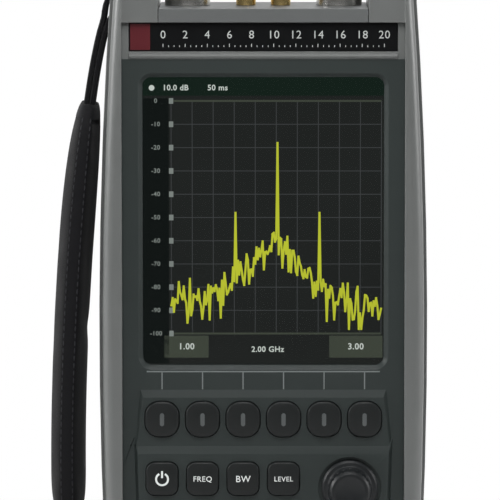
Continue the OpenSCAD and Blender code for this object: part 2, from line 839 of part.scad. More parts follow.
module display_ribbon() color([0.75, 0.5, 0.2]) front_view() {
    ribbon_w = 30;
    ribbon_t = 0.4;
    ribbon_rise = 12;
    ribbon_sink = 2;
    ribbon_low = main_low + ribbon_rise;
    ribbon_d = lcd_back_d + ribbon_sink;
    translate([-ribbon_w / 2, ribbon_low, ribbon_d])
        cube([ribbon_w, window_z - lcd_h / 2 - ribbon_low, ribbon_t]);
    translate([-ribbon_w / 2, ribbon_low, main_d])
        cube([ribbon_w, ribbon_t, ribbon_d + ribbon_t - main_d]);
}

module keypad_mat() color([0.3, 0.3, 0.32]) front_view() difference() {
    translate([-keyboard_half_w, keyboard_low, mat_d - mat_t])
        cube([2 * keyboard_half_w, keyboard_high - keyboard_low, mat_t]);
    for (p = key_posts) {
        translate(p) layer(keyboard_d - 1, mat_d + 1) circle(key_post_r + 0.3);
    }
    translate([knob_x, knob_z]) layer(keyboard_d - 1, mat_d + 1) square(encoder_w + 0.6, center = true);
}

module keypad_board() color([0.1, 0.35, 0.2]) front_view() difference() {
    translate([-keyboard_half_w, keyboard_low, keyboard_d - board_t])
        cube([2 * keyboard_half_w, keyboard_high - keyboard_low, board_t]);
    for (p = key_posts) {
        translate(p) layer(keyboard_d - 2 * board_t, mat_d) circle(board_screw_r + hole_play);
    }
}

module encoder() color([0.6, 0.6, 0.6]) front_view() translate([knob_x, knob_z]) difference() {
    union() {
        layer(keyboard_d, flange_d) square(encoder_w, center = true);
        layer(flange_d - eps, bush_top_d) circle(bush_r);
    }
    layer(keyboard_d + 0.8, bush_top_d + 1) circle(shaft_r + shaft_play);
}

module encoder_shaft() color([0.7, 0.7, 0.7]) front_view() translate([knob_x, knob_z]) {
    layer(keyboard_d + 1, shaft_top_d) circle(shaft_r);
}

module knob() color([0.16, 0.17, 0.17]) front_view() translate([knob_x, knob_z]) difference() {
    rotate_extrude() polygon([
        [0, knob_low_d], [knob_skirt_r, knob_low_d], [knob_skirt_r, knob_low_d + skirt_t - 1],
        [knob_skirt_r - 1, knob_low_d + skirt_t], [knob_grip_r + 0.6, knob_low_d + skirt_t + 0.4],
        [knob_grip_r, knob_low_d + skirt_t + 1.4], [knob_grip_r - 0.3, knob_top_d - 1.4],
        [knob_grip_r - 1.5, knob_top_d], [0, knob_top_d]
    ]);
    layer(knob_low_d - 1, bush_room_top_d) circle(bush_room_r);
    layer(knob_low_d, shaft_top_d) circle(shaft_r);
    // Finger dish in the top.
    translate([0, 0, knob_top_d + dish_r - dish_depth]) sphere(dish_r, $fn = 128);
    // Flutes around the grip.
    for (k = [0 : flute_count - 1]) {
        rotate([0, 0, k * 360 / flute_count]) translate([knob_grip_r + flute_out, 0])
            layer(knob_low_d + skirt_t + 1.6, knob_top_d + 1) circle(flute_r, $fn = 24);
    }
}

module main_board() color([0.1, 0.35, 0.2]) front_view() difference() {
    union() {
        translate([-main_half_w, main_low, main_back_d])
            cube([2 * main_half_w, main_high - main_low, board_t]);
        for (s = [-1, 1], z = main_post_z) {
            translate([s * (post_x + main_half_w) / 2, z]) layer(main_back_d, main_d)
                square([post_x - main_half_w + 2 * post_r, 2 * post_r], center = true);
        }
    }
    for (s = [-1, 1], z = main_post_z) {
        translate([s * post_x, z]) layer(main_back_d - 1, main_d + 1) circle(board_screw_r + hole_play);
    }
}

module rf_module() color([0.7, 0.71, 0.72]) front_view() {
    translate([-rf_half_w, rf_low, main_back_d - rf_t]) cube([2 * rf_half_w, rf_high - rf_low, rf_t]);
}

// One connector on the top panel: collar, threaded barrel with its bore, and tail below the panel.
module connector(collar_r, collar_h, thread_r, thread_l, body_r, tail_l, bore_r, bore_depth) {
    top = crown_top + collar_h + thread_l;
    difference() {
        union() {
            rod_up(crown_top, crown_top + collar_h, collar_r);
            rod_up(crown_top, top, thread_r);
            rod_up(shell_top - tail_l, crown_top + 1, body_r);
        }
        rod_up(top - bore_depth, top + 1, bore_r);
    }
}

module rf_connectors() color([0.78, 0.78, 0.76]) front_view() {
    for (s = [-1, 1]) {
        translate([s * rf_x, 0, 0])
            connector(
                rf_collar_r, rf_collar_h, rf_thread_r, rf_thread_l,
                rf_body_r, rf_tail_l, rf_bore_r, rf_bore_depth
            );
    }
}

module sma_connectors() color([0.83, 0.69, 0.35]) front_view() {
    for (s = [-1, 1]) {
        translate([s * sma_x, 0, 0])
            connector(
                sma_collar_r, sma_collar_h, sma_thread_r, sma_thread_l,
                sma_body_r, sma_tail_l, sma_bore_r, sma_bore_depth
            );
    }
}

module connector_nuts() color([0.75, 0.75, 0.75]) front_view() {
    for (s = [-1, 1]) {
        translate([s * rf_x, shell_top, 0]) rotate([90, 0, 0]) difference() {
            cylinder(h = nut_h, r = rf_nut_r, $fn = 6);
            translate([0, 0, -1]) cylinder(h = nut_h + 2, r = rf_body_r);
        }
        translate([s * sma_x, shell_top, 0]) rotate([90, 0, 0]) difference() {
            cylinder(h = nut_h, r = sma_nut_r, $fn = 6);
            translate([0, 0, -1]) cylinder(h = nut_h + 2, r = sma_body_r);
        }
    }
}

module connector_contacts() color([0.85, 0.7, 0.3]) front_view() {
    rf_top = crown_top + rf_collar_h + rf_thread_l;
    sma_top = crown_top + sma_collar_h + sma_thread_l;
    for (s = [-1, 1]) {
        translate([s * rf_x, 0, 0]) rod_up(rf_top - rf_bore_depth, rf_top - 2, rf_pin_r);
        translate([s * sma_x, 0, 0]) rod_up(sma_top - sma_bore_depth, sma_top - 1, sma_pin_r);
    }
}

module coax_leads() color([0.72, 0.45, 0.3]) front_view() {
    for (s = [-1, 1]) {
        translate([s * rf_x, 0, 0]) rod_up(rf_high, shell_top - rf_tail_l, lead_r);
        translate([s * sma_x, 0, 0]) rod_up(rf_high, shell_top - sma_tail_l, lead_r);
    }
}

module battery_pack() color([0.15, 0.15, 0.17]) front_view() {
    translate([-battery_w / 2, bay_low + battery_play, bay_floor_d - battery_play - battery_t])
        cube([battery_w, battery_h, battery_t]);
}

module battery_door() color([0.24, 0.26, 0.26]) front_view() difference() {
    translate([0, bay_z]) layer(rear_d, rear_d + door_t) soft_rect(door_w, door_h, door_r);
    // Grip grooves.
    for (k = [0 : 4]) {
        translate([-door_w / 6, bay_high - groove_drop - groove_pitch * k, rear_d - 1])
            cube([door_w / 3, groove_w, groove_depth + 1]);
    }
}

module bail_stand() color([0.18, 0.19, 0.19]) front_view() difference() {
    union() {
        translate([0, bail_z, bail_d]) rod_x(-bail_w / 2, bail_w / 2, bail_barrel_r);
        layer(bail_d - bail_t / 2, bail_d + bail_t / 2) union() {
            translate([-bail_w / 2, bail_low + bail_foot_r]) square([bail_w, bail_l - bail_foot_r]);
            translate([-bail_w / 2 + bail_foot_r, bail_low]) square([bail_w - 2 * bail_foot_r, bail_l]);
            for (s = [-1, 1]) {
                translate([s * (bail_w / 2 - bail_foot_r), bail_low + bail_foot_r]) circle(bail_foot_r);
            }
        }
    }
    translate([0, bail_z, bail_d]) rod_x(-bail_w / 2 - 1, -bail_w / 2 + pin_grip + 1, pin_r + pin_play);
    translate([0, bail_z, bail_d]) rod_x(bail_w / 2 - pin_grip - 1, bail_w / 2 + 1, pin_r + pin_play);
    // Sunk panel in the middle of the plate.
    translate([0, bail_low + bail_l / 2]) layer(bail_d - bail_t, bail_d - bail_t / 2 + bail_panel_depth)
        soft_rect(bail_w - 2 * bail_rim, bail_l - 2 * bail_end, bail_panel_r);
}

module hinge_pins() color([0.7, 0.7, 0.72]) front_view() {
    translate([0, bail_z, bail_d])
        rod_x(-bail_w / 2 - bail_play - pin_seat, -bail_w / 2 + pin_grip, pin_r);
    translate([0, bail_z, bail_d])
        rod_x(bail_w / 2 - pin_grip, bail_w / 2 + bail_play + pin_seat, pin_r);
    translate([hinge_x, 0, hinge_d])
        rod_up(port_z - port_l / 2 - pin_seat, port_z + port_l / 2 + pin_seat, hinge_r);
    strap_pin();
}

module port_door() color([0.36, 0.37, 0.37]) front_view() translate([hinge_x, 0, hinge_d]) difference() {
    union() {
        rod_up(port_z - port_l / 2, port_z + port_l / 2, knuckle_r);
        translate([-door_half_t, port_z - port_l / 2, 0])
            cube([2 * door_half_t, port_l, port_w - knuckle_r]);
    }
    rod_up(port_z - port_l, port_z + port_l, hinge_r + pin_play);
    // Shallow grip lines near the free edge.
    for (k = [0 : 2]) {
        translate([door_half_t - port_grip_depth, port_z - port_grip_l / 2, port_w - knuckle_r])
            translate([0, 0, -port_grip_inset - 2 * port_grip_w * k])
                cube([knuckle_r, port_grip_l, port_grip_w]);
    }
}

// One flat socket with its tongue, open toward the right side.
module flat_socket(z) {
    socket_l = 12.5;
    socket_w = 5.1;
    socket_depth = 10;
    tongue_t = 1.9;
    difference() {
        translate([port_face_x - socket_depth, z - socket_l / 2, port_d - socket_w / 2])
            cube([socket_depth + 1, socket_l, socket_w]);
        translate([port_face_x - socket_depth - 1, z - socket_l / 2 + 0.6, port_d - tongue_t / 2])
            cube([socket_depth, socket_l - 1.2, tongue_t]);
    }
}

module port_block() color([0.12, 0.12, 0.13]) front_view() difference() {
    translate([port_face_x - block_depth, port_z - port_l / 2 - bay_wall, port_d - port_w / 2])
        cube([block_depth, port_l + 2 * bay_wall, port_w]);
    flat_socket(port_z + port_l / 4 + 2);
    flat_socket(port_z);
    // Headphone socket.
    translate([0, jack_z, port_d]) rod_x(port_face_x - block_depth + 1, port_face_x + 1, jack_r);
}

// A band along the strap curve, with a half thickness for each place on it.
module web_band(from, to, n) {
    ts = band(from, to, n);
    polygon(concat(
        [for (t = ts) strap_at(t) + web_t / 2 * strap_side(t)],
        [for (k = [n : -1 : 0]) strap_at(ts[k]) - web_t / 2 * strap_side(ts[k])]
    ));
}

module strap_webbing() color([0.12, 0.12, 0.14]) front_view() difference() {
    layer(strap_d - web_w / 2, strap_d + web_w / 2) union() {
        web_band(0, pad_start, 12);
        web_band(pad_end, 1, 20);
        translate([pin_x, pin_z]) circle(loop_r);
        translate([anchor_x, anchor_z]) circle(loop_r);
    }
    layer(-body_d, body_d) union() {
        translate([pin_x, pin_z]) circle(strap_pin_r + loop_play);
        translate([anchor_x, anchor_z]) circle(strap_pin_r + loop_play);
    }
}

module strap_pad() color([0.11, 0.11, 0.13]) front_view() {
    last = pad_steps * pad_sides;
    polyhedron(
        points = [
            for (j = [0 : pad_steps], k = [0 : pad_sides - 1]) pad_point(pad_place(j), 360 * k / pad_sides)
        ],
        faces = concat(
            [[for (k = [0 : pad_sides - 1]) pad_sides - 1 - k]],
            [[for (k = [0 : pad_sides - 1]) last + k]],
            [
                for (j = [0 : pad_steps - 1], k = [0 : pad_sides - 1])
                let (a = j * pad_sides + k, b = j * pad_sides + (k + 1) % pad_sides)
                each [[a, b, b + pad_sides], [a, b + pad_sides, a + pad_sides]]
            ]
        )
    );
}

module strap_anchor() color([0.14, 0.14, 0.15]) front_view() {
    ear_half = web_w / 2 + anchor_play;
    plate_h = 2 * (anchor_half_h - fit_gap);
    translate([-anchor_seat_x - anchor_plate_t, anchor_z - plate_h / 2, strap_d - ear_half - anchor_ear_t])
        cube([anchor_plate_t, plate_h, 2 * (ear_half + anchor_ear_t)]);
    for (d = [strap_d - ear_half - anchor_ear_t, strap_d + ear_half]) {
        layer(d, d + anchor_ear_t) union() {
            translate([anchor_x, anchor_z]) circle(anchor_ear_r);
            translate([anchor_x, anchor_z - anchor_ear_r])
                square([-anchor_seat_x - anchor_x - 0.5, 2 * anchor_ear_r]);
        }
    }
    translate([anchor_x, anchor_z, strap_d - ear_half - 0.5])
        cylinder(h = 2 * ear_half + 1, r = strap_pin_r);
}

module case_screws() color([0.75, 0.75, 0.75]) front_view() {
    for (p = boss_places) {
        translate(p) difference() {
            union() {
                layer(case_screw_seat_d - case_head_h, case_screw_seat_d) circle(case_head_r);
                layer(case_screw_seat_d - eps, case_screw_tip_d) circle(case_screw_r);
            }
            layer(case_screw_seat_d - case_head_h - 1, case_screw_seat_d - case_head_h + hex_depth)
                circle(hex_r, $fn = 6);
        }
    }
}

// A small screw whose head rests on a board from behind.
module board_screw(seat) {
    layer(seat - board_head_h, seat) circle(board_head_r);
    layer(seat - eps, seat + board_screw_l) circle(board_screw_r);
}

module board_screws() color([0.7, 0.7, 0.68]) front_view() {
    for (s = [-1, 1]) {
        for (z = lcd_post_z) {
            translate([s * post_x, z]) board_screw(lcd_back_d);
        }
        for (z = main_post_z) {
            translate([s * post_x, z]) board_screw(main_back_d);
        }
    }
    for (p = key_posts) {
        translate(p) board_screw(keyboard_d - board_t);
    }
}

// A key with a flange behind the panel and a plunger toward the mat; its top is cut by the given form.
module key_form(w, h, r, top) {
    plunger_r = 2.5;
    flange = key_gap + flange_lip;
    layer(flange_d - flange_t, flange_d) soft_rect(w + 2 * flange, h + 2 * flange, r + flange);
    intersection() {
        layer(flange_d - eps, top) soft_rect(w, h, r);
        children();
    }
    layer(flange_d - flange_t - stub_h, flange_d - flange_t + eps) circle(plunger_r);
}

// The ball that rounds the top of a key.
module key_dome(top) {
    translate([0, 0, top - key_dome_r]) sphere(key_dome_r, $fn = 160);
}

module softkey(i) color([0.14, 0.16, 0.16]) front_view() translate([col_x(i), soft_z]) {
    top = soft_face_d + key_proud;
    key_form(softkey_w, softkey_h, softkey_r, top) key_dome(top);
}

module hard_key(c, r) color([0.16, 0.17, 0.18]) front_view() translate([col_x(c), row_z(r)]) {
    top = key_face_d + key_proud;
    key_form(key_w, key_h, key_r, top) key_dome(top);
}

module wide_key(c, r) color([0.16, 0.17, 0.18]) front_view() translate([col_x(c), row_z(r)]) {
    top = key_face_d + key_proud;
    w = key_pitch + key_w;
    key_form(w, key_h, key_r, top)
        translate([0, 0, top - wide_arch_r]) rod_x(-w, w, wide_arch_r, $fn = 160);
}

front_case();
rear_case();
left_bumper();
right_bumper();
top_panel();
base_panel();
label_plate();
display_window();
display_gasket();
lcd_panel();
display_ribbon();
keypad_mat();
keypad_board();
encoder();
encoder_shaft();
knob();
main_board();
rf_module();
rf_connectors();
sma_connectors();
connector_nuts();
connector_contacts();
coax_leads();
battery_pack();
battery_door();
bail_stand();
hinge_pins();
port_door();
port_block();
strap_webbing();
strap_pad();
strap_anchor();
case_screws();
board_screws();
softkey(0);  // softkey_1
softkey(1);  // softkey_2
softkey(2);  // softkey_3
softkey(3);  // softkey_4
softkey(4);  // softkey_5
softkey(5);  // softkey_6
hard_key(0, 3);  // power_key
hard_key(1, 3);  // frequency_key
hard_key(2, 3);  // bandwidth_key
hard_key(3, 3);  // amplitude_key
hard_key(0, 2);  // seven_key
hard_key(1, 2);  // eight_key
hard_key(2, 2);  // nine_key
hard_key(3, 2);  // sign_key
hard_key(0, 1);  // four_key
hard_key(1, 1);  // five_key
hard_key(2, 1);  // six_key
hard_key(3, 1);  // point_key
hard_key(0, 0);  // one_key
hard_key(1, 0);  // two_key
hard_key(2, 0);  // three_key
hard_key(3, 0);  // zero_key
hard_key(4, 1);  // up_key
hard_key(5, 1);  // down_key
wide_key(4.5, 0);  // enter_key
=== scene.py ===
"""Finishes, prints and soft pieces of a handheld spectrum analyzer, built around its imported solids."""
import json
import math
import random

import bmesh
import bpy
from bpy.props import FloatProperty, FloatVectorProperty, IntProperty, PointerProperty
from mathutils import Matrix, Vector

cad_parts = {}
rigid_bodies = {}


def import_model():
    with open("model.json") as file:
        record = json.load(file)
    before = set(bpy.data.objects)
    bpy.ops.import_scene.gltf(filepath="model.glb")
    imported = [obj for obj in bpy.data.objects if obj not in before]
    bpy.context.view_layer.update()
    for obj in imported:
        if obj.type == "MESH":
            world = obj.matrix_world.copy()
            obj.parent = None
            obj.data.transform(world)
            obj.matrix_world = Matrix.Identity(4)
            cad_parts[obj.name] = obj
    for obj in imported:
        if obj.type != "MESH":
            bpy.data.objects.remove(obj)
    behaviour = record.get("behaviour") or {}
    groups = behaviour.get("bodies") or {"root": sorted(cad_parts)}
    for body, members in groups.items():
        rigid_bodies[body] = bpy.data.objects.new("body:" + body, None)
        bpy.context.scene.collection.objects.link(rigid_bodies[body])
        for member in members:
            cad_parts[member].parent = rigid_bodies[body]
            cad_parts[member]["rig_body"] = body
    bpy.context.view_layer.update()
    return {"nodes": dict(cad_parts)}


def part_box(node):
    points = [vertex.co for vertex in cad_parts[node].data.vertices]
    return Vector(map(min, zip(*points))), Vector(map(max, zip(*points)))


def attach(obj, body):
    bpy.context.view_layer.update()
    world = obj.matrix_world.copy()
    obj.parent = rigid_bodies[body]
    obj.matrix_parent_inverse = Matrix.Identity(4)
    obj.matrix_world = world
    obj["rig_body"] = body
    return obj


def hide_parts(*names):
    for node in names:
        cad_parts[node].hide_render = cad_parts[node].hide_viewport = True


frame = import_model()

bl_info = {
    "name": "Handheld Spectrum Analyzer",
    "version": (1, 0, 0),
    "blender": (4, 5, 0),
    "location": "3D View > Sidebar > Analyzer",
    "description": "Finishes, prints, screen picture and hand strap of a handheld spectrum analyzer",
    "category": "Object",
}

MM = 0.001
INSTRUMENT = "instrument"
SOFT_KEYS = [f"softkey_{k + 1}" for k in range(6)]


# Sizes and colours that a user would change.

def srgb(red, green, blue):
    """A colour written in 0 to 255 steps, as linear values."""
    steps = [c / 255 for c in (red, green, blue)]
    return tuple(c / 12.92 if c <= 0.04045 else ((c + 0.055) / 1.055) ** 2.4 for c in steps)


def colour(name, description, value):
    return FloatVectorProperty(
        name=name, description=description, default=value, subtype="COLOR", size=3, min=0.0, max=1.0)


def length(name, description, value):
    return FloatProperty(
        name=name, description=description, default=value, subtype="DISTANCE", unit="LENGTH", precision=5)


class CaseLooks(bpy.types.PropertyGroup):
    """Colours and edge rounding of the hard and rubber pieces."""
    bumper: colour("Bumper", "Grey rubber of the side bumpers", srgb(87, 89, 88))
    case: colour("Case", "Dark plastic of the case", srgb(38, 44, 43))
    panel: colour("Panel", "Grey plastic of the top and base panels", srgb(79, 81, 81))
    strip: colour("Strip", "Black strip above the display", srgb(9, 10, 11))
    tile: colour("Tile", "Plain square at the left end of the strip", srgb(74, 17, 24))
    key: colour("Key", "Dark rubber of the keys", srgb(17, 20, 20))
    legend: colour("Legend", "Printed figures and words", srgb(214, 218, 216))
    line: colour("Line", "Printed lines between display and soft keys", srgb(104, 109, 109))
    edge: length("Edge", "Rounding of moulded edges", 0.00035)
    # Above this band's lower edge the front is painted in the bumper grey, a painted highlight that widens
    # the lit slope under the strip.
    band: length("Band", "Height of the grey band under the strip", 0.0037)


class ScreenLooks(bpy.types.PropertyGroup):
    """Picture on the display."""
    ground: colour("Ground", "Dark ground of the picture", srgb(34, 36, 35))
    bar: colour("Bar", "Bar along the top of the picture", srgb(22, 34, 28))
    column: colour("Column", "Column at the left of the grid", srgb(19, 23, 22))
    grid: colour("Grid", "Lines of the grid", srgb(62, 64, 65))
    trace: colour("Trace", "Measured line", srgb(186, 192, 52))
    text: colour("Text", "Figures on the screen", srgb(196, 202, 196))
    tick: colour("Tick", "Scale at the left of the grid", srgb(124, 130, 126))
    box: colour("Box", "Olive fields along the bottom", srgb(64, 69, 60))
    divisions: IntProperty(name="Divisions", description="Fields of the grid each way", default=10, min=4)
    dips: FloatProperty(
        name="Dips", description="Share of points that drop out of the noise", default=0.06, min=0.0)
    seed: IntProperty(name="Seed", description="Seed of the noise in the measured line", default=17)


class StrapLooks(bpy.types.PropertyGroup):
    """Hand strap."""
    sleeve: colour("Sleeve", "Fabric of the padded sleeve", srgb(8, 8, 10))
    webbing: colour("Webbing", "Woven band", srgb(9, 9, 11))
    binding: colour("Binding", "Edge tape of the sleeve", srgb(13, 13, 15))
    thread: colour("Thread", "Sewing thread", srgb(24, 24, 28))
    stitch: length("Stitch", "Distance between stitches", 0.0034)
    fill: FloatProperty(name="Fill", description="Fullness of the padding", default=0.7, min=0.0, max=1.0)


class StageLooks(bpy.types.PropertyGroup):
    """Floor, light and camera."""
    floor: colour("Floor", "Pale floor", (0.82, 0.82, 0.82))
    pool: length("Pool", "Distance from the object to which the floor keeps its light and shadow", 0.26)
    world: FloatProperty(
        name="World", description="Level of the even light all round", default=0.13, min=0.0)
    softbox: FloatProperty(
        name="Softbox", description="Power of the top lamp, which the others follow", default=7.6, min=0.0,
        subtype="POWER", unit="POWER")
    distance: length("Distance", "From the camera to the middle of the object", 2.2)
    width: length("Width", "Width of the view at the front face", 0.2294)
    height: length("Height", "Height of the middle of the view", 0.1897)
    tilt: FloatProperty(
        name="Tilt", description="Height of the camera above level", default=math.radians(6.0),
        subtype="ANGLE", unit="ROTATION")
    shift: FloatProperty(name="Shift", description="Sideways shift of the lens", default=-0.0266)


# Node trees written as expressions.

class Value:
    """One output of a node, which takes part in sums, products and comparisons."""

    def __init__(self, nodes, socket):
        self.nodes = nodes
        self.socket = socket

    def _math(self, operation, other, turned=False):
        pair = (other, self) if turned else (self, other)
        return self.nodes.add("ShaderNodeMath", {"operation": operation}, {0: pair[0], 1: pair[1]})

    def __add__(self, other):
        return self._math("ADD", other)

    def __radd__(self, other):
        return self._math("ADD", other, True)

    def __sub__(self, other):
        return self._math("SUBTRACT", other)

    def __rsub__(self, other):
        return self._math("SUBTRACT", other, True)

    def __mul__(self, other):
        return self._math("MULTIPLY", other)

    def __rmul__(self, other):
        return self._math("MULTIPLY", other, True)

    def __gt__(self, other):
        return self._math("GREATER_THAN", other)

    def __lt__(self, other):
        return self._math("LESS_THAN", other)

    def clamped(self):
        return self.nodes.add("ShaderNodeClamp", {}, {"Value": self})

    def sine(self):
        return self.nodes.add("ShaderNodeMath", {"operation": "SINE"}, {0: self})


class Nodes:
    """A node tree that grows by one method."""

    def __init__(self, tree):
        self.tree = tree

    def add(self, kind, settings=None, sockets=None, output=0):
        node = self.tree.nodes.new(kind)
        for key, value in (settings or {}).items():
            if key == "stops":
                ramp = node.color_ramp.elements
                while len(ramp) < len(value):
                    ramp.new(0.5)
                for element, (place, tone) in zip(ramp, value):
                    element.position = place
                    element.color = (tone, tone, tone, 1)
            else:
                setattr(node, key, value)
        for key, value in (sockets or {}).items():
            self.feed(node.inputs[key], value)
        return Value(self, node.outputs[output])

    def feed(self, socket, value):
        if isinstance(value, Value):
            self.tree.links.new(value.socket, socket)
        else:
            socket.default_value = value


class Finish(Nodes):
    """A material around one Principled shader."""

    def __init__(self, name, **constants):
        self.material = bpy.data.materials.new(name)
        self.material.use_nodes = True
        super().__init__(self.material.node_tree)
        self.tree.nodes.clear()
        self.shader = self.tree.nodes.new("ShaderNodeBsdfPrincipled")
        output = self.tree.nodes.new("ShaderNodeOutputMaterial")
        self.tree.links.new(self.shader.outputs[0], output.inputs["Surface"])
        for key, value in constants.items():
            self.set(key.replace("_", " "), value)

    def set(self, socket, value):
        self.feed(self.shader.inputs[socket], value)

    def place(self):
        return self.add("ShaderNodeTexCoord", output="Object")

    def stretched(self, x, y, z):
        """Object coordinates with their own scale along each axis."""
        return self.add("ShaderNodeMapping", {}, {"Vector": self.place(), "Scale": (x, y, z)})

    def along(self, axis):
        """One of the object coordinates, X, Y or Z."""
        return self.add("ShaderNodeSeparateXYZ", {}, {0: self.place()}, axis)

    def cloth(self):
        """Length along and across a band, in its own map."""
        spot = self.add("ShaderNodeUVMap", {"uv_map": "Cloth"})
        parts = self.tree.nodes.new("ShaderNodeSeparateXYZ")
        self.feed(parts.inputs[0], spot)
        return Value(self, parts.outputs[0]), Value(self, parts.outputs[1])

    def noise(self, scale, detail=3.0, roughness=0.5, where=None):
        return self.add("ShaderNodeTexNoise", {}, {
            "Vector": where or self.place(), "Scale": scale, "Detail": detail, "Roughness": roughness})

    def ramp(self, value, *stops):
        return self.add("ShaderNodeValToRGB", {"stops": stops}, {"Fac": value})

    def mix(self, factor, first, second):
        """Blend of two colours."""
        ends = [c if isinstance(c, Value) else (*c, 1) for c in (first, second)]
        return self.add("ShaderNodeMix", {"data_type": "RGBA"}, {0: factor, 6: ends[0], 7: ends[1]}, 2)

    def bump(self, height, distance, strength):
        return self.add("ShaderNodeBump", {}, {
            "Height": height, "Distance": distance, "Strength": strength})

    def edges(self, radius):
        """Close to 1 on outer and inner edges, 0 on open faces."""
        rounded = self.add("ShaderNodeBevel", {"samples": 4}, {"Radius": radius})
        plain = self.add("ShaderNodeNewGeometry", output="Normal")
        alike = self.add(
            "ShaderNodeVectorMath", {"operation": "DOT_PRODUCT"}, {0: rounded, 1: plain}, "Value")
        return ((1.0 - alike) * 7.0).clamped()


def shade(tone, factor):
    return tuple(min(1.0, c * factor) for c in tone)


def moulded(name, tone, roughness, grain, depth, wear, specular, upper=None):
    """Moulded plastic or rubber with a spark-eroded grain, faint blotches and rubbed edges.

    Grain is counted per metre. A piece in two tones has the second one above a height, used on the front as
    a painted highlight band under the strip.
    """
    f = Finish(name, Specular_IOR_Level=specular)
    fine = f.noise(grain, 2.0)
    broad = f.noise(38.0, 4.0, 0.6)
    smudge = f.noise(170.0, 5.0, 0.62)
    rubbed = f.edges(0.0012) * f.ramp(smudge, (0.35, 0.0), (0.7, 1.0))

    def skin(tone):
        body = f.mix(broad, shade(tone, 0.9), shade(tone, 1.1))
        speckled = f.mix(fine * 0.25, body, shade(tone, 0.78))
        return f.mix(rubbed * wear, speckled, shade(tone, 1.75))

    # Second tone above a height: on the front this is a painted highlight band under the strip.
    if upper:
        height, second = upper
        f.set("Base Color", f.mix(f.along("Z") > height, skin(tone), skin(second)))
    else:
        f.set("Base Color", skin(tone))
    f.set("Roughness", (roughness + (smudge - 0.5) * 0.2 - rubbed * 0.08).clamped())
    f.set("Normal", f.bump(fine, depth, 0.6))
    return f.material


def metal(name, tone, roughness, along=(60.0, 60.0, 2200.0)):
    """Turned or plated metal with fine tool lines and faint staining."""
    f = Finish(name)
    lines = f.noise(1.0, 3.0, 0.6, f.stretched(*along))
    cloud = f.noise(240.0, 4.0, 0.6)
    f.set("Base Color", f.mix(cloud * 0.25, tone, shade(tone, 0.62)))
    f.set("Metallic", (1.0 - f.ramp(cloud, (0.66, 0.0), (0.8, 1.0)) * 0.12).clamped())
    f.set("Roughness", (roughness + (lines - 0.5) * 0.24).clamped())
    f.set("Normal", f.bump(lines, 0.00002, 0.5))
    return f.material


def ink(name, tone):
    """Screen print: nearly even, a little thin in places."""
    f = Finish(name, Specular_IOR_Level=0.3)
    thin = f.noise(1500.0, 2.0)
    f.set("Base Color", f.mix(f.ramp(thin, (0.3, 0.0), (0.75, 1.0)) * 0.3, tone, shade(tone, 0.78)))
    f.set("Roughness", (0.45 + (thin - 0.5) * 0.25).clamped())
    return f.material


def lit(name, tone):
    """A lit field of the display with its fine dot structure."""
    f = Finish(
        name, Base_Color=(0, 0, 0, 1), Roughness=0.5, Emission_Strength=1.0, Specular_IOR_Level=0.0)
    dots = f.noise(1.0, 0.0, 0.5, f.stretched(2600.0, 900.0, 2600.0))
    drift = f.noise(26.0, 2.0)
    dull = f.mix(drift, shade(tone, 0.86), shade(tone, 1.1))
    f.set("Emission Color", f.mix(dots * 0.14, dull, shade(tone, 0.84)))
    return f.material


def woven(name, tone, across, along, depth, sheen, roughness):
    """Woven band or cloth, with threads that follow the piece's own map and tops painted lighter as a
    highlight.
    """
    f = Finish(name, Sheen_Weight=sheen, Sheen_Roughness=0.5, Specular_IOR_Level=0.1)
    u, v = f.cloth()
    warp = (v * across).sine()
    weft = (u * along + (v * across * 0.5).sine() * 0.9).sine()
    weave = (warp * weft * 0.5 + 0.5).clamped()
    fuzz = f.noise(2600.0, 3.0, 0.7)
    fade = f.noise(55.0, 3.0)
    base = f.mix(fade, shade(tone, 0.82), shade(tone, 1.2))
    # Painted highlight: the threads are lighter where the weave stands high.
    highlit_threads = f.mix(weave * 0.55, base, shade(tone, 1.75))
    f.set("Base Color", f.mix(fuzz * 0.4, highlit_threads, shade(tone, 0.6)))
    f.set("Roughness", (roughness + (fuzz - 0.5) * 0.2).clamped())
    f.set("Normal", f.bump(weave * 0.8 + fuzz * 0.35, depth, 0.7))
    return f.material


def board(name, tone):
    """Circuit board with lacquered conductor lines and plated dots."""
    f = Finish(name, Specular_IOR_Level=0.5)
    lanes = f.add("ShaderNodeTexBrick", {"offset": 0.37}, {
        "Vector": f.stretched(1.0, 0.4, 1.0), "Scale": 210.0, "Mortar Size": 0.06,
        "Color1": (0, 0, 0, 1), "Color2": (0, 0, 0, 1), "Mortar": (1, 1, 1, 1)})
    dots = f.add("ShaderNodeTexVoronoi", {}, {"Vector": f.place(), "Scale": 260.0})
    pads = dots < 0.18
    lacquer = f.mix(lanes, tone, shade(tone, 1.9))
    f.set("Base Color", f.mix(pads, lacquer, (0.62, 0.5, 0.28)))
    f.set("Metallic", pads * 0.9)
    f.set("Roughness", 0.42 - 0.14 * pads)
    f.set("Normal", f.bump(lanes + pads, 0.00004, 0.5))
    return f.material


def clear_glass(name):
    """Coated display glass with the faintest smears."""
    f = Finish(name, Transmission_Weight=1.0, IOR=1.07, Roughness=0.0)
    smear = f.noise(1.0, 5.0, 0.6, f.stretched(34.0, 34.0, 12.0))
    f.set("Base Color", f.mix(smear, (0.94, 0.97, 0.96), (0.98, 0.99, 0.99)))
    f.set("Normal", f.bump(smear, 0.00001, 0.2))
    return f.material


def film(name, tone):
    """Amber carrier film of a flat cable with its conductor lanes."""
    f = Finish(name, Coat_Roughness=0.2)
    lanes = (f.along("X") * 7000.0).sine() > 0.1
    cloud = f.noise(120.0, 3.0)
    amber = f.mix(cloud, shade(tone, 0.85), shade(tone, 1.1))
    f.set("Base Color", f.mix(lanes * 0.6, amber, (0.5, 0.27, 0.14)))
    f.set("Roughness", 0.3 + 0.15 * cloud)
    f.set("Coat Weight", 0.4 * cloud)
    return f.material


FINISHES = {}


# Geometry trees for what repeats or follows a path.

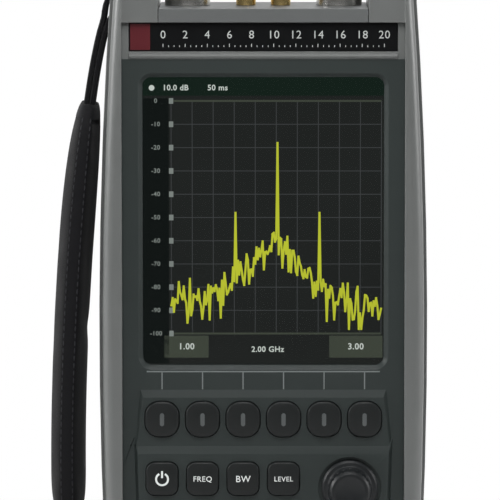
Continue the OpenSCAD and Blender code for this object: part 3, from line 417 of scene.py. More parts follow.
class Growth(Nodes):
    """A geometry tree with named inputs that ends in real faces of one material."""

    def __init__(self, name, **inputs):
        super().__init__(bpy.data.node_groups.new(name, "GeometryNodeTree"))
        self.tree.interface.new_socket("Geometry", in_out="OUTPUT", socket_type="NodeSocketGeometry")
        self.names = {}
        for label, kind in {**inputs, "Finish": "Material"}.items():
            made = self.tree.interface.new_socket(label, in_out="INPUT", socket_type="NodeSocket" + kind)
            self.names[label] = made.identifier
        self.source = self.tree.nodes.new("NodeGroupInput")

    def given(self, label):
        return Value(self, self.source.outputs[label])

    def close(self, geometry):
        real = self.add("GeometryNodeRealizeInstances", {}, {"Geometry": geometry})
        painted = self.add(
            "GeometryNodeSetMaterial", {}, {"Geometry": real, "Material": self.given("Finish")})
        output = self.tree.nodes.new("NodeGroupOutput")
        self.feed(output.inputs[0], painted)
        return self


def stitch_tree():
    """Stitches along a path, one capsule each."""
    g = Growth("stitch_row", Path="Geometry", Spacing="Float", Thickness="Float", Reach="Float")
    path = g.add("GeometryNodeMeshToCurve", {}, {"Mesh": g.given("Path")})
    spots = g.add(
        "GeometryNodeResampleCurve", {"mode": "LENGTH"}, {"Curve": path, "Length": g.given("Spacing")})
    bead = g.add("GeometryNodeMeshUVSphere", {}, {"Segments": 8, "Rings": 6, "Radius": 1.0})
    scale = g.add("ShaderNodeCombineXYZ", {}, {
        0: g.given("Thickness"), 1: g.given("Thickness"), 2: g.given("Reach")})
    capsule = g.add("GeometryNodeTransform", {}, {"Geometry": bead, "Scale": scale})
    tangent = g.add("GeometryNodeInputTangent")
    turned = g.add("FunctionNodeAlignRotationToVector", {"axis": "Z"}, {"Vector": tangent})
    return g.close(g.add("GeometryNodeInstanceOnPoints", {}, {
        "Points": spots, "Instance": capsule, "Rotation": turned}))


def bar_tree():
    """A row of equal bars at even steps."""
    g = Growth("bar_row", Count="Int", First="Vector", Step="Vector", Bar="Vector")
    spots = g.add("GeometryNodeMeshLine", {"mode": "OFFSET"}, {
        "Count": g.given("Count"), "Start Location": g.given("First"), "Offset": g.given("Step")})
    bar = g.add("GeometryNodeMeshCube", {}, {"Size": g.given("Bar")})
    return g.close(g.add("GeometryNodeInstanceOnPoints", {}, {"Points": spots, "Instance": bar}))


def thread_tree():
    """A screw thread: a sharp ridge that winds up a barrel."""
    g = Growth("screw_thread", Turns="Float", Radius="Float", Rise="Float", Ridge="Float", Place="Vector")
    spiral = g.add("GeometryNodeCurveSpiral", {}, {
        "Resolution": 40, "Rotations": g.given("Turns"), "Start Radius": g.given("Radius"),
        "End Radius": g.given("Radius"), "Height": g.given("Rise")})
    ridge = g.add("GeometryNodeCurvePrimitiveCircle", {"mode": "RADIUS"}, {
        "Resolution": 4, "Radius": g.given("Ridge")})
    wound = g.add("GeometryNodeCurveToMesh", {}, {
        "Curve": spiral, "Profile Curve": ridge, "Fill Caps": True})
    return g.close(g.add("GeometryNodeTransform", {}, {"Geometry": wound, "Translation": g.given("Place")}))


def to_plain(obj):
    """Turns an object with modifiers into a plain mesh."""
    bpy.context.view_layer.update()
    shaped = obj.evaluated_get(bpy.context.evaluated_depsgraph_get())
    mesh = bpy.data.meshes.new_from_object(shaped)
    obj.modifiers.clear()
    old = obj.data
    obj.data = mesh
    if old.users == 0:
        bpy.data.meshes.remove(old)
    return obj


def grown(name, tree, mesh=None, **values):
    """The plain mesh of one geometry tree with its inputs set."""
    obj = linked(name, mesh or bpy.data.meshes.new(name))
    modifier = obj.modifiers.new("grow", "NODES")
    modifier.node_group = tree.tree
    for label, value in values.items():
        modifier[tree.names[label]] = value
    return outward(to_plain(obj))


def face_out(bm):
    """Turns the faces of closed forms outward."""
    bmesh.ops.recalc_face_normals(bm, faces=bm.faces)
    if bm.calc_volume(signed=True) < 0.0:
        bmesh.ops.reverse_faces(bm, faces=bm.faces)


def outward(obj):
    bm = bmesh.new()
    bm.from_mesh(obj.data)
    face_out(bm)
    bm.to_mesh(obj.data)
    bm.free()
    return obj


# Mesh helpers, in millimetres in the front view: x across, z up, d toward the viewer.

def place(x, z, d):
    return Vector((x, -d, z)) * MM


def seen(node):
    """Lowest and highest x, z and d of a solid, in millimetres."""
    low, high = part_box(node)
    return (low.x / MM, high.x / MM), (low.z / MM, high.z / MM), (-high.y / MM, -low.y / MM)


def centre(node):
    """Middle of a solid in the front view."""
    (left, right), (low, high), _ = seen(node)
    return (left + right) / 2, (low + high) / 2


def linked(name, data):
    obj = bpy.data.objects.new(name, data)
    bpy.context.scene.collection.objects.link(obj)
    return obj


def dressed(obj, finishes, body, node=None):
    """Gives a piece its finishes and its body, and hides the solid it stands for, where there is one."""
    if obj.data.materials:
        obj.data.materials.clear()
    for name in finishes:
        obj.data.materials.append(FINISHES[name])
    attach(obj, body)
    if node:
        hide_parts(node)


def smooth(mesh, angle):
    mesh.shade_smooth()
    mesh.set_sharp_from_angle(angle=math.radians(angle))


def soft_rect(wide, tall, r, steps=8, sides=4):
    """Counter-clockwise outline of a rectangle with round corners."""
    points = []
    for quarter, (sx, sz) in enumerate(((1, 1), (-1, 1), (-1, -1), (1, -1))):
        cx, cz = sx * (wide / 2 - r), sz * (tall / 2 - r)
        turns = [math.pi / 2 * (quarter + k / steps) for k in range(steps + 1)]
        points += [(cx + r * math.cos(t), cz + r * math.sin(t)) for t in turns]
        run = (-2 * cx, 0.0) if quarter % 2 == 0 else (0.0, -2 * cz)
        x, z = points[-1]
        points += [(x + run[0] * k / sides, z + run[1] * k / sides) for k in range(1, sides)]
    return points


class Plates:
    """Collects thin closed plates and letters for one print."""
    field = 0.9

    def __init__(self, fall=None):
        self.bm = bmesh.new()
        self.fall = fall

    def outline(self, points, back, front, finish=0):
        rings = [[self.bm.verts.new(place(x, z, d)) for x, z in points] for d in (back, front)]
        sides = zip(rings[0], rings[0][1:] + rings[0][:1], rings[1][1:] + rings[1][:1], rings[1])
        for corners in [rings[1], rings[0][::-1], *sides]:
            self.bm.faces.new(corners).material_index = finish

    def bar(self, left, right, low, high, back, front, finish=0):
        self.outline([(left, low), (right, low), (right, high), (left, high)], back, front, finish)

    def stroke(self, start, end, width, back, front, finish=0):
        """A straight line that runs past both ends by half its width."""
        way = Vector((end[0] - start[0], end[1] - start[1])).normalized() * width / 2
        side = Vector((-way.y, way.x))
        a, b = Vector(start) - way, Vector(end) + way
        self.outline([a - side, b - side, b + side, a + side], back, front, finish)

    def disc(self, x, z, r, back, front, finish=0, count=24):
        turns = [2 * math.pi * k / count for k in range(count)]
        rim = [(x + r * math.cos(a), z + r * math.sin(a)) for a in turns]
        self.outline(rim, back, front, finish)

    def letters(self, words, x, z, size, back, front, finish=0, align="CENTER", weight=0.02):
        curve = bpy.data.curves.new("letters", "FONT")
        curve.body = words
        curve.size = size
        curve.align_x = align
        curve.align_y = "CENTER"
        curve.offset = weight * size
        curve.space_character = 1.08
        curve.resolution_u = 3
        curve.extrude = (front - back) / 2
        obj = linked("letters", curve)
        bpy.context.view_layer.update()
        shaped = obj.evaluated_get(bpy.context.evaluated_depsgraph_get())
        mesh = bpy.data.meshes.new_from_object(shaped)
        bpy.data.objects.remove(obj)
        word = bmesh.new()
        word.from_mesh(mesh)
        bmesh.ops.remove_doubles(word, verts=word.verts, dist=1e-4)
        for vert in word.verts:
            vert.co = place(x + vert.co.x, z + vert.co.y, (back + front) / 2 + vert.co.z)
        for face in word.faces:
            face.material_index = finish
        word.to_mesh(mesh)
        word.free()
        self.bm.from_mesh(mesh)
        bpy.data.meshes.remove(mesh)
        bpy.data.curves.remove(curve)

    def draped(self):
        """Cuts the print into small fields and lays them on a curved face."""
        spots = [v.co for v in self.bm.verts]
        for axis in (Vector((1, 0, 0)), Vector((0, 0, 1))):
            ends = [axis.dot(spot) for spot in spots]
            low, high = min(ends), max(ends)
            count = math.ceil((high - low) / (self.field * MM))
            for k in range(1, count):
                whole = self.bm.verts[:] + self.bm.edges[:] + self.bm.faces[:]
                cut = axis * (low + (high - low) * k / count)
                bmesh.ops.bisect_plane(self.bm, geom=whole, dist=1e-8, plane_co=cut, plane_no=axis)
        for vert in self.bm.verts:
            vert.co.y -= self.fall(vert.co.x / MM, vert.co.z / MM) * MM

    def done(self, name, finishes, body):
        if self.fall:
            self.draped()
        mesh = bpy.data.meshes.new(name)
        self.bm.to_mesh(mesh)
        self.bm.free()
        dressed(linked(name, mesh), finishes, body)


def merged(node, crease):
    """A copy of a solid's triangles as one skin, creased where faces of the solid meet at an angle."""
    bm = bmesh.new()
    bm.from_mesh(frame["nodes"][node].data)
    mark = bm.faces.layers.int.new("surface")
    waiting = set(bm.faces)
    number = 0
    while waiting:
        number += 1
        reach = [waiting.pop()]
        while reach:
            face = reach.pop()
            face[mark] = number
            near = {other for edge in face.edges for other in edge.link_faces} & waiting
            waiting -= near
            reach.extend(near)
    bmesh.ops.remove_doubles(bm, verts=bm.verts, dist=2e-6)
    bmesh.ops.dissolve_degenerate(bm, edges=bm.edges, dist=1e-6)
    for edge in bm.edges:
        sides = edge.link_faces
        if len(sides) == 2 and sides[0][mark] != sides[1][mark]:
            edge.smooth = edge.calc_face_angle(0.0) < math.radians(crease)
    bmesh.ops.dissolve_limit(
        bm, angle_limit=math.radians(0.4), verts=bm.verts, edges=bm.edges, delimit={"SHARP"})
    for face in bm.faces:
        face.smooth = True
    mesh = bpy.data.meshes.new(node + "_skin")
    bm.to_mesh(mesh)
    bm.free()
    return mesh


def rounded(node, finish, width, angle=38.0, segments=2, crease=8.0, clear_of=()):
    """A solid's skin with its edges rounded, except those round the pieces it stands clear of."""
    mesh = merged(node, crease)
    around = [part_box(name) for name in clear_of]
    room = 2.6 * MM

    def near(spot, low, high):
        across = low.x - room < spot.x < high.x + room
        return across and low.z - room < spot.z < high.z + room

    mesh.attributes.new("bevel_weight_edge", "FLOAT", "EDGE")
    bm = bmesh.new()
    bm.from_mesh(mesh)
    layer = bm.edges.layers.float["bevel_weight_edge"]
    for edge in bm.edges:
        if edge.calc_face_angle(0.0) < math.radians(angle):
            continue
        spot = (edge.verts[0].co + edge.verts[1].co) / 2
        hidden = any(near(spot, *corners) for corners in around)
        edge[layer] = 0.0 if hidden else 1.0
        edge.smooth = not hidden
    bm.to_mesh(mesh)
    bm.free()
    obj = linked(node + "_skin", mesh)
    edge = obj.modifiers.new("edge", "BEVEL")
    edge.width = width
    edge.segments = segments
    edge.limit_method = "WEIGHT"
    edge.use_clamp_overlap = False
    edge.face_strength_mode = "FSTR_ALL"
    obj.modifiers.new("split", "TRIANGULATE").min_vertices = 5
    flat = obj.modifiers.new("flat", "WEIGHTED_NORMAL")
    flat.use_face_influence = True
    flat.keep_sharp = True
    to_plain(obj)
    dressed(obj, [finish], frame["nodes"][node]["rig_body"], node)


def painted(node, finish):
    """A solid that shows as it is, with a better material."""
    obj = frame["nodes"][node]
    obj.data.materials.clear()
    obj.data.materials.append(FINISHES[finish])


def lofted(bm, rings, uv=None, caps=True):
    """Skin over closed rings of points, with its cloth map in about centimetres."""
    rows = [[bm.verts.new(p) for p in ring] for ring in rings]
    layer = bm.loops.layers.uv.get("Cloth") or bm.loops.layers.uv.new("Cloth")
    count = len(rows[0])
    for j in range(len(rows) - 1):
        for k in range(count):
            n = (k + 1) % count
            face = bm.faces.new((rows[j][k], rows[j][n], rows[j + 1][n], rows[j + 1][k]))
            if uv:
                for loop, (a, b) in zip(face.loops, ((j, k), (j, k + 1), (j + 1, k + 1), (j + 1, k))):
                    loop[layer].uv = uv(a, b)
    if caps:
        bm.faces.new(rows[0][::-1])
        bm.faces.new(rows[-1])


def solid_mesh(name, bm, angle):
    face_out(bm)
    mesh = bpy.data.meshes.new(name)
    bm.to_mesh(mesh)
    bm.free()
    smooth(mesh, angle)
    return mesh


def wire(name, points):
    """An open path as a mesh of edges."""
    mesh = bpy.data.meshes.new(name)
    mesh.from_pydata(points, [(k, k + 1) for k in range(len(points) - 1)], [])
    return mesh


# The strap's hanging curve and the turn to its lower anchor, as in the solids, in millimetres.

BODY_W, BOW_R, BOW_Z = 152.0, 2300.0, 150.0
STRAP_D = -8.0
WEB_T, WEB_W, PAD_T, PAD_W = 5.0, 25.0, 15.0, 44.0
SEAM_T, SEAM_W = 0.6, 2.0
PIN_Z, PIN_INSET, PIN_R, LOOP_PLAY = 305.3, 2.9, 2.0, 0.3
ANCHOR_Z, ANCHOR_OUT = 24.0, 6.0
UPPER_PULL, LOWER_PULL = (-21.0, -14.0), (-24.0, -46.0)
PAD_START, PAD_END, PAD_FULLNESS = 0.225, 0.70, 3.0
PAD_SHOULDER, PAD_FOOT, PAD_CORNER = 0.15, 0.06, 0.07
STRAP_TURN, TURN_LEAD = 0.75, 16.0
NUDGE = 1e-4


def half_width(z):
    return math.sqrt(BOW_R ** 2 - (z - BOW_Z) ** 2) - BOW_R + BODY_W / 2


PIN = Vector((-half_width(PIN_Z) + PIN_INSET, PIN_Z))
ANCHOR = Vector((-half_width(ANCHOR_Z) - ANCHOR_OUT, ANCHOR_Z))
KNOTS = [PIN, PIN + Vector(UPPER_PULL), ANCHOR + Vector(LOWER_PULL), ANCHOR]


def hang(t):
    a, b, c, e = KNOTS
    return (1 - t) ** 3 * a + 3 * t * (1 - t) ** 2 * b + 3 * t * t * (1 - t) * c + t ** 3 * e


def strap_at(t):
    if t <= STRAP_TURN:
        return hang(t)
    start = hang(STRAP_TURN)
    over = start + TURN_LEAD * (start - hang(STRAP_TURN - NUDGE)).normalized()
    u = (t - STRAP_TURN) / (1 - STRAP_TURN)
    return (1 - u) ** 2 * start + 2 * u * (1 - u) * over + u * u * ANCHOR


def strap_side(t):
    way = (strap_at(min(t + NUDGE, 1.0)) - strap_at(max(t - NUDGE, 0.0))).normalized()
    return Vector((way.y, -way.x))


def round_end(s):
    return 1.0 if s >= 1 else math.sqrt(max(0.0, 1 - (1 - s) ** 2))


def pad_rise(t, upper, lower):
    return round_end((t - PAD_START) / upper) * round_end((PAD_END - t) / lower)


def full(v):
    return math.copysign(abs(v) ** (2 / PAD_FULLNESS), v)


def pad_point(t, angle, grow=0.0):
    """A point on the sleeve: angle 0 faces the case, a quarter turn faces the front."""
    swell = (PAD_T - WEB_T - 2 * SEAM_T) / 2 * pad_rise(t, PAD_SHOULDER, PAD_FOOT)
    spread = (PAD_W - WEB_W - 2 * SEAM_W) / 2 * pad_rise(t, PAD_CORNER, PAD_CORNER)
    half = WEB_T / 2 + SEAM_T + swell + grow
    wide = WEB_W / 2 + SEAM_W + spread + grow
    spot = strap_at(t) + half * full(math.cos(angle)) * strap_side(t)
    return place(spot.x, spot.y, STRAP_D + wide * full(math.sin(angle)))


# Operators, one for each group of pieces.

class Piece:
    """What the operators of this panel share."""
    bl_options = {"REGISTER", "UNDO"}


class ANALYZER_OT_finishes(Piece, bpy.types.Operator):
    """Make the materials of all pieces"""
    bl_idname = "analyzer.finishes"
    bl_label = "Finishes"

    def execute(self, context):
        scene = context.scene
        self.mouldings(scene.analyzer_case)
        self.inner_pieces()
        self.inks(scene.analyzer_case)
        self.picture(scene.analyzer_screen)
        self.cloths(scene.analyzer_strap)
        return {"FINISHED"}

    def mouldings(self, case):
        """Plastic, rubber and foam: roughness, grain, depth of the grain, wear of the edges and gloss."""
        # Above the band the front takes the bumper grey: a painted highlight for the up-facing slope under
        # the strip.
        painted_highlight_band = (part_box("label_plate")[0].z - case.band, tuple(case.bumper))
        for finish, name, tone, *surface in (
                ("bumper", "bumper_rubber", case.bumper, 0.36, 2100.0, 0.00003, 0.3, 0.7),
                ("case", "case_plastic", case.case, 0.5, 2600.0, 0.00003, 0.4, 0.25),
                ("front", "front_plastic", case.case, 0.5, 2600.0, 0.00003, 0.4, 0.25, painted_highlight_band),
                ("panel", "panel_plastic", case.panel, 0.5, 2300.0, 0.00003, 0.3, 0.4),
                ("strip", "strip_print", case.strip, 0.4, 900.0, 0.000006, 0.1, 0.12),
                ("key", "key_rubber", case.key, 0.5, 3000.0, 0.00002, 0.3, 0.25),
                ("knob", "knob_rubber", srgb(15, 18, 20), 0.46, 2600.0, 0.00002, 0.45, 0.3),
                ("stand", "stand_plastic", srgb(44, 49, 49), 0.52, 2400.0, 0.00004, 0.5, 0.4),
                ("anchor", "anchor_plastic", srgb(34, 36, 37), 0.45, 2400.0, 0.00002, 0.5, 0.4),
                ("socket", "socket_plastic", srgb(26, 27, 28), 0.42, 2000.0, 0.00002, 0.2, 0.4),
                ("battery", "battery_wrap", srgb(44, 44, 48), 0.6, 1200.0, 0.00003, 0.2, 0.3),
                ("gasket", "gasket_foam", srgb(20, 20, 20), 0.85, 1800.0, 0.0001, 0.0, 0.15),
                ("mat", "key_mat", srgb(82, 82, 86), 0.7, 1500.0, 0.00003, 0.0, 0.3),
                ("bezel", "display_frame", srgb(30, 33, 32), 0.4, 1800.0, 0.00001, 0.0, 0.3),
                ("insulator", "white_insulator", srgb(226, 224, 216), 0.5, 1500.0, 0.00001, 0.0, 0.4)):
            FINISHES[finish] = moulded(name, tuple(tone), *surface)

    def inner_pieces(self):
        """Metals with their roughness, the circuit boards, the flat cable and the glass."""
        for finish, name, tone, *surface in (
                ("nickel", "nickel_plate", (0.66, 0.65, 0.62), 0.22),
                ("gold", "gold_plate", (0.83, 0.62, 0.27), 0.2),
                ("steel", "screw_steel", (0.52, 0.52, 0.53), 0.3),
                ("can", "shield_can", (0.6, 0.61, 0.62), 0.34, (900.0, 60.0, 60.0)),
                ("copper", "copper_jacket", (0.68, 0.36, 0.2), 0.3)):
            FINISHES[finish] = metal(name, tone, *surface)
        FINISHES["board"] = board("circuit_board", srgb(24, 88, 52))
        FINISHES["film"] = film("ribbon_film", srgb(176, 120, 52))
        FINISHES["glass"] = clear_glass("display_glass")

    def inks(self, case):
        """What is printed on the strip, the keys and the front, and the painted highlight on the soft keys.
        """
        for finish, name, tone in (
                ("tile", "tile_print", tuple(case.tile)),
                ("legend", "legend_print", tuple(case.legend)),
                ("scale", "scale_print", shade(case.legend, 0.55)),
                # Soft keys: a dim oblong in ink, a painted highlight on the top of the crown.
                ("mark", "soft_key_mark", shade(case.line, 0.5)),
                ("line", "line_print", tuple(case.line))):
            FINISHES[finish] = ink(name, tone)

    def picture(self, screen):
        """The lit parts of the display."""
        for finish in ("ground", "bar", "column", "grid", "trace", "text", "tick", "box"):
            FINISHES[finish] = lit("screen_" + finish, tuple(getattr(screen, finish)))

    def cloths(self, strap):
        """Cloths: threads across and along, depth of the weave, sheen and roughness. Then their thread."""
        for finish, name, tone, *weave in (
                ("sleeve", "sleeve_cloth", strap.sleeve, 62.0, 62.0, 0.00016, 0.06, 0.7),
                ("webbing", "webbing_weave", strap.webbing, 40.0, 26.0, 0.0003, 0.04, 0.7),
                ("binding", "binding_tape", strap.binding, 70.0, 46.0, 0.00014, 0.05, 0.68)):
            FINISHES[finish] = woven(name, tuple(tone), *weave)
        FINISHES["thread"] = moulded(
            "sewing_thread", tuple(strap.thread), 0.6, 5200.0, 0.00004, 0.0, 0.3)


class ANALYZER_OT_case(Piece, bpy.types.Operator):
    """Round and finish the case, the bumpers and the panels"""
    bl_idname = "analyzer.case"
    bl_label = "Case"

    def execute(self, context):
        edge = context.scene.analyzer_case.edge
        keys = [name for name in frame["nodes"] if name.endswith("_key") or name.startswith("softkey")]
        rounded("front_case", "front", edge, clear_of=[*keys, "knob"])
        rounded("rear_case", "case", edge)
        rounded("left_bumper", "bumper", edge, crease=20.0)
        rounded("right_bumper", "bumper", edge, crease=20.0)
        rounded("top_panel", "panel", edge)
        rounded("base_panel", "panel", edge)
        rounded("label_plate", "strip", edge * 0.5)
        return {"FINISHED"}


class ANALYZER_OT_prints(Piece, bpy.types.Operator):
    """Print the strip above the display and the lines below it"""
    bl_idname = "analyzer.prints"
    bl_label = "Prints"
    # Millimetres, from the edges and the middle of the strip or along the front.
    sunk, strip_proud, line_proud = 0.02, 0.04, 0.05
    tile_edge, tile_right = 0.5, 9.6
    scale_left, scale_right, scale_drop, scale_steps = 15.5, 6.0, 4.6, 40
    tick_w, tick_h, long_tick_h, long_every = 0.32, 0.8, 1.5, 4
    figure_rise, figure_size = 0.9, 5.2
    panel_face = 28.0
    rail_z, rail_w, rail_inset = 136.4, 0.6, 4.5
    branch_low, branch_w = 128.2, 0.56

    def execute(self, context):
        self.strip()
        self.lines()
        return {"FINISHED"}

    def strip(self):
        """A plain tile and a numbered scale."""
        (left, right), (low, high), (_, face) = seen("label_plate")
        middle = (low + high) / 2
        back, front = face - self.sunk, face + self.strip_proud
        edge = self.tile_edge
        plates = Plates()
        plates.bar(left + edge, left + self.tile_right, low + edge, high - edge, back, front, 0)
        first, last, foot = left + self.scale_left, right - self.scale_right, middle - self.scale_drop
        for k in range(self.scale_steps + 1):
            x = first + (last - first) * k / self.scale_steps
            numbered = k % self.long_every == 0
            top = foot + (self.long_tick_h if numbered else self.tick_h)
            plates.bar(x - self.tick_w / 2, x + self.tick_w / 2, foot, top, back, front, 1)
            if numbered:
                rise = middle + self.figure_rise
                plates.letters(str(k // 2), x, rise, self.figure_size, back, front, 1, weight=0.0)
        plates.done("strip_print", ["tile", "scale"], INSTRUMENT)

    def lines(self):
        """A line under the display with a branch down to each soft key."""
        (left, right), _, _ = seen("display_window")
        z, half = self.rail_z, self.rail_w / 2
        back, front = self.panel_face - self.sunk, self.panel_face + self.line_proud
        plates = Plates()
        plates.bar(left + self.rail_inset, right - self.rail_inset, z - half, z + half, back, front)
        for node in SOFT_KEYS:
            x, _ = centre(node)
            plates.bar(x - self.branch_w / 2, x + self.branch_w / 2, self.branch_low, z, back, front)
        plates.done("display_lines", ["line"], INSTRUMENT)


class ANALYZER_OT_screen(Piece, bpy.types.Operator):
    """Glaze the display and draw its picture"""
    bl_idname = "analyzer.screen"
    bl_label = "Screen"
    # Millimetres, depths from the face of the display panel.
    first_layer, layer_t, layer_step = 0.02, 0.025, 0.03
    # Left, right, low and high edge of each field, and the number of its finish.
    ground_fields = ((-55.9, 55.9, 138.7, 263.2, 0), (-55.9, 55.9, 263.2, 272.5, 1))
    raised_fields = (
        (-55.6, -43.4, 139.6, 262.0, 2), (-45.6, -25.2, 142.2, 152.4, 3), (30.4, 54.9, 142.2, 152.4, 3))
    grid_box = (-42.3, 54.2, 153.4, 260.8)
    border_w, line_w, tick_w, tick_h = 0.9, 0.36, 2.0, 2.6
    level_back, tick_front = 0.006, 0.004
    # The measured line: heights are shares of the grid's height, peaks have the number of their point.
    points = 170
    peaks = ((86, 0.82), (52, 0.52), (120, 0.52))
    peak_w, stroke_w = 0.7, 0.92
    floor, ripple, jitter, dip, least = 0.135, 0.03, 0.04, 0.1, 0.02
    swell, swell_at, swell_w, swell_power = 0.25, 0.49, 0.19, 1.5
    # Words above the grid with their x, and words below it with x, z and size.
    lamp_x, lamp_r = -51.2, 1.3
    status_z, status_size, status = 266.8, 3.6, (("10.0 dB", -46.2), ("50 ms", -25.6))
    scale_x, scale_size, scale_steps = -49.4, 2.9, 10
    below = (("1.00", -35.4, 147.3, 4.0), ("3.00", 42.6, 147.3, 4.0), ("2.00 GHz", 2.0, 146.0, 3.6))

    def execute(self, context):
        looks = context.scene.analyzer_screen
        painted("display_window", "glass")
        painted("display_gasket", "gasket")
        painted("lcd_panel", "bezel")
        painted("display_ribbon", "film")
        _, _, (_, self.face) = seen("lcd_panel")
        self.fields()
        self.grid(looks)
        self.trace(looks)
        self.figures()
        return {"FINISHED"}

    def level(self, step):
        """Back and front depth of one thin layer of the picture."""
        back = self.face + self.first_layer + self.layer_step * step
        return back, back + self.layer_t

    def fields(self):
        plates = Plates()
        for step, group in enumerate((self.ground_fields, self.raised_fields)):
            for *edges, finish in group:
                plates.bar(*edges, *self.level(step), finish)
        left, right, low, high = self.grid_box
        half = self.border_w / 2
        for z in (low, high):
            plates.bar(left + self.tick_w / 2, right, z - half, z + half, *self.level(3), 3)
        plates.done("screen_fields", ["ground", "bar", "column", "box"], INSTRUMENT)

    def grid(self, looks):
        left, right, low, high = self.grid_box
        wide, tall = right - left, high - low
        count = looks.divisions
        back, front = self.level(2)
        d, t = (back + front) / 2, front - back
        across, up = Vector((wide / count, 0, 0)) * MM, Vector((0, 0, tall / count)) * MM
        tree = bar_tree()
        x, z = (left + right) / 2, (low + high) / 2
        line, tick = self.line_w, (self.tick_w, t, self.tick_h)
        for name, finish, first, step, bar in (
                ("grid_upright", "grid", place(left, z, d), across, (line, t, tall)),
                ("grid_level", "grid", place(x, low, d - self.level_back), up, (wide, t, line)),
                ("grid_ticks", "tick", place(left, low, d + self.tick_front), up, tick)):
            row = grown(
                name, tree, Count=count + 1, First=first, Step=step, Bar=Vector(bar) * MM,
                Finish=FINISHES[finish])
            dressed(row, [finish], INSTRUMENT)

    def trace(self, looks):
        """A noise floor that swells toward the middle, with one tall and two lower peaks."""
        left, right, low, high = self.grid_box
        draw = random.Random(looks.seed)
        points = []
        for k in range(self.points + 1):
            s = k / self.points
            swell = self.swell * math.exp(-abs((s - self.swell_at) / self.swell_w) ** self.swell_power)
            ripple = draw.gauss(0.0, self.ripple)
            rise = self.floor + swell + ripple + draw.uniform(-self.jitter, self.jitter)
            if draw.random() < looks.dips:
                rise -= self.dip
            peaks = [top * math.exp(-abs(k - where) / self.peak_w) for where, top in self.peaks]
            points.append((left + (right - left) * s, low + (high - low) * max(self.least, rise, *peaks)))
        plates = Plates()
        for a, b in zip(points, points[1:]):
            plates.stroke(a, b, self.stroke_w, *self.level(4))
        plates.done("screen_trace", ["trace"], INSTRUMENT)

    def figures(self):
        _, _, low, high = self.grid_box
        layer = self.level(3)
        plates = Plates()
        plates.disc(self.lamp_x, self.status_z, self.lamp_r, *layer)
        for words, x in self.status:
            plates.letters(words, x, self.status_z, self.status_size, *layer, align="LEFT")
        step = (high - low) / self.scale_steps
        for k in range(self.scale_steps + 1):
            plates.letters(f"{-10 * k}", self.scale_x, high - step * k, self.scale_size, *layer, 1)
        for words, x, z, size in self.below:
            plates.letters(words, x, z, size, *layer)
        plates.done("screen_figures", ["text", "tick"], INSTRUMENT)


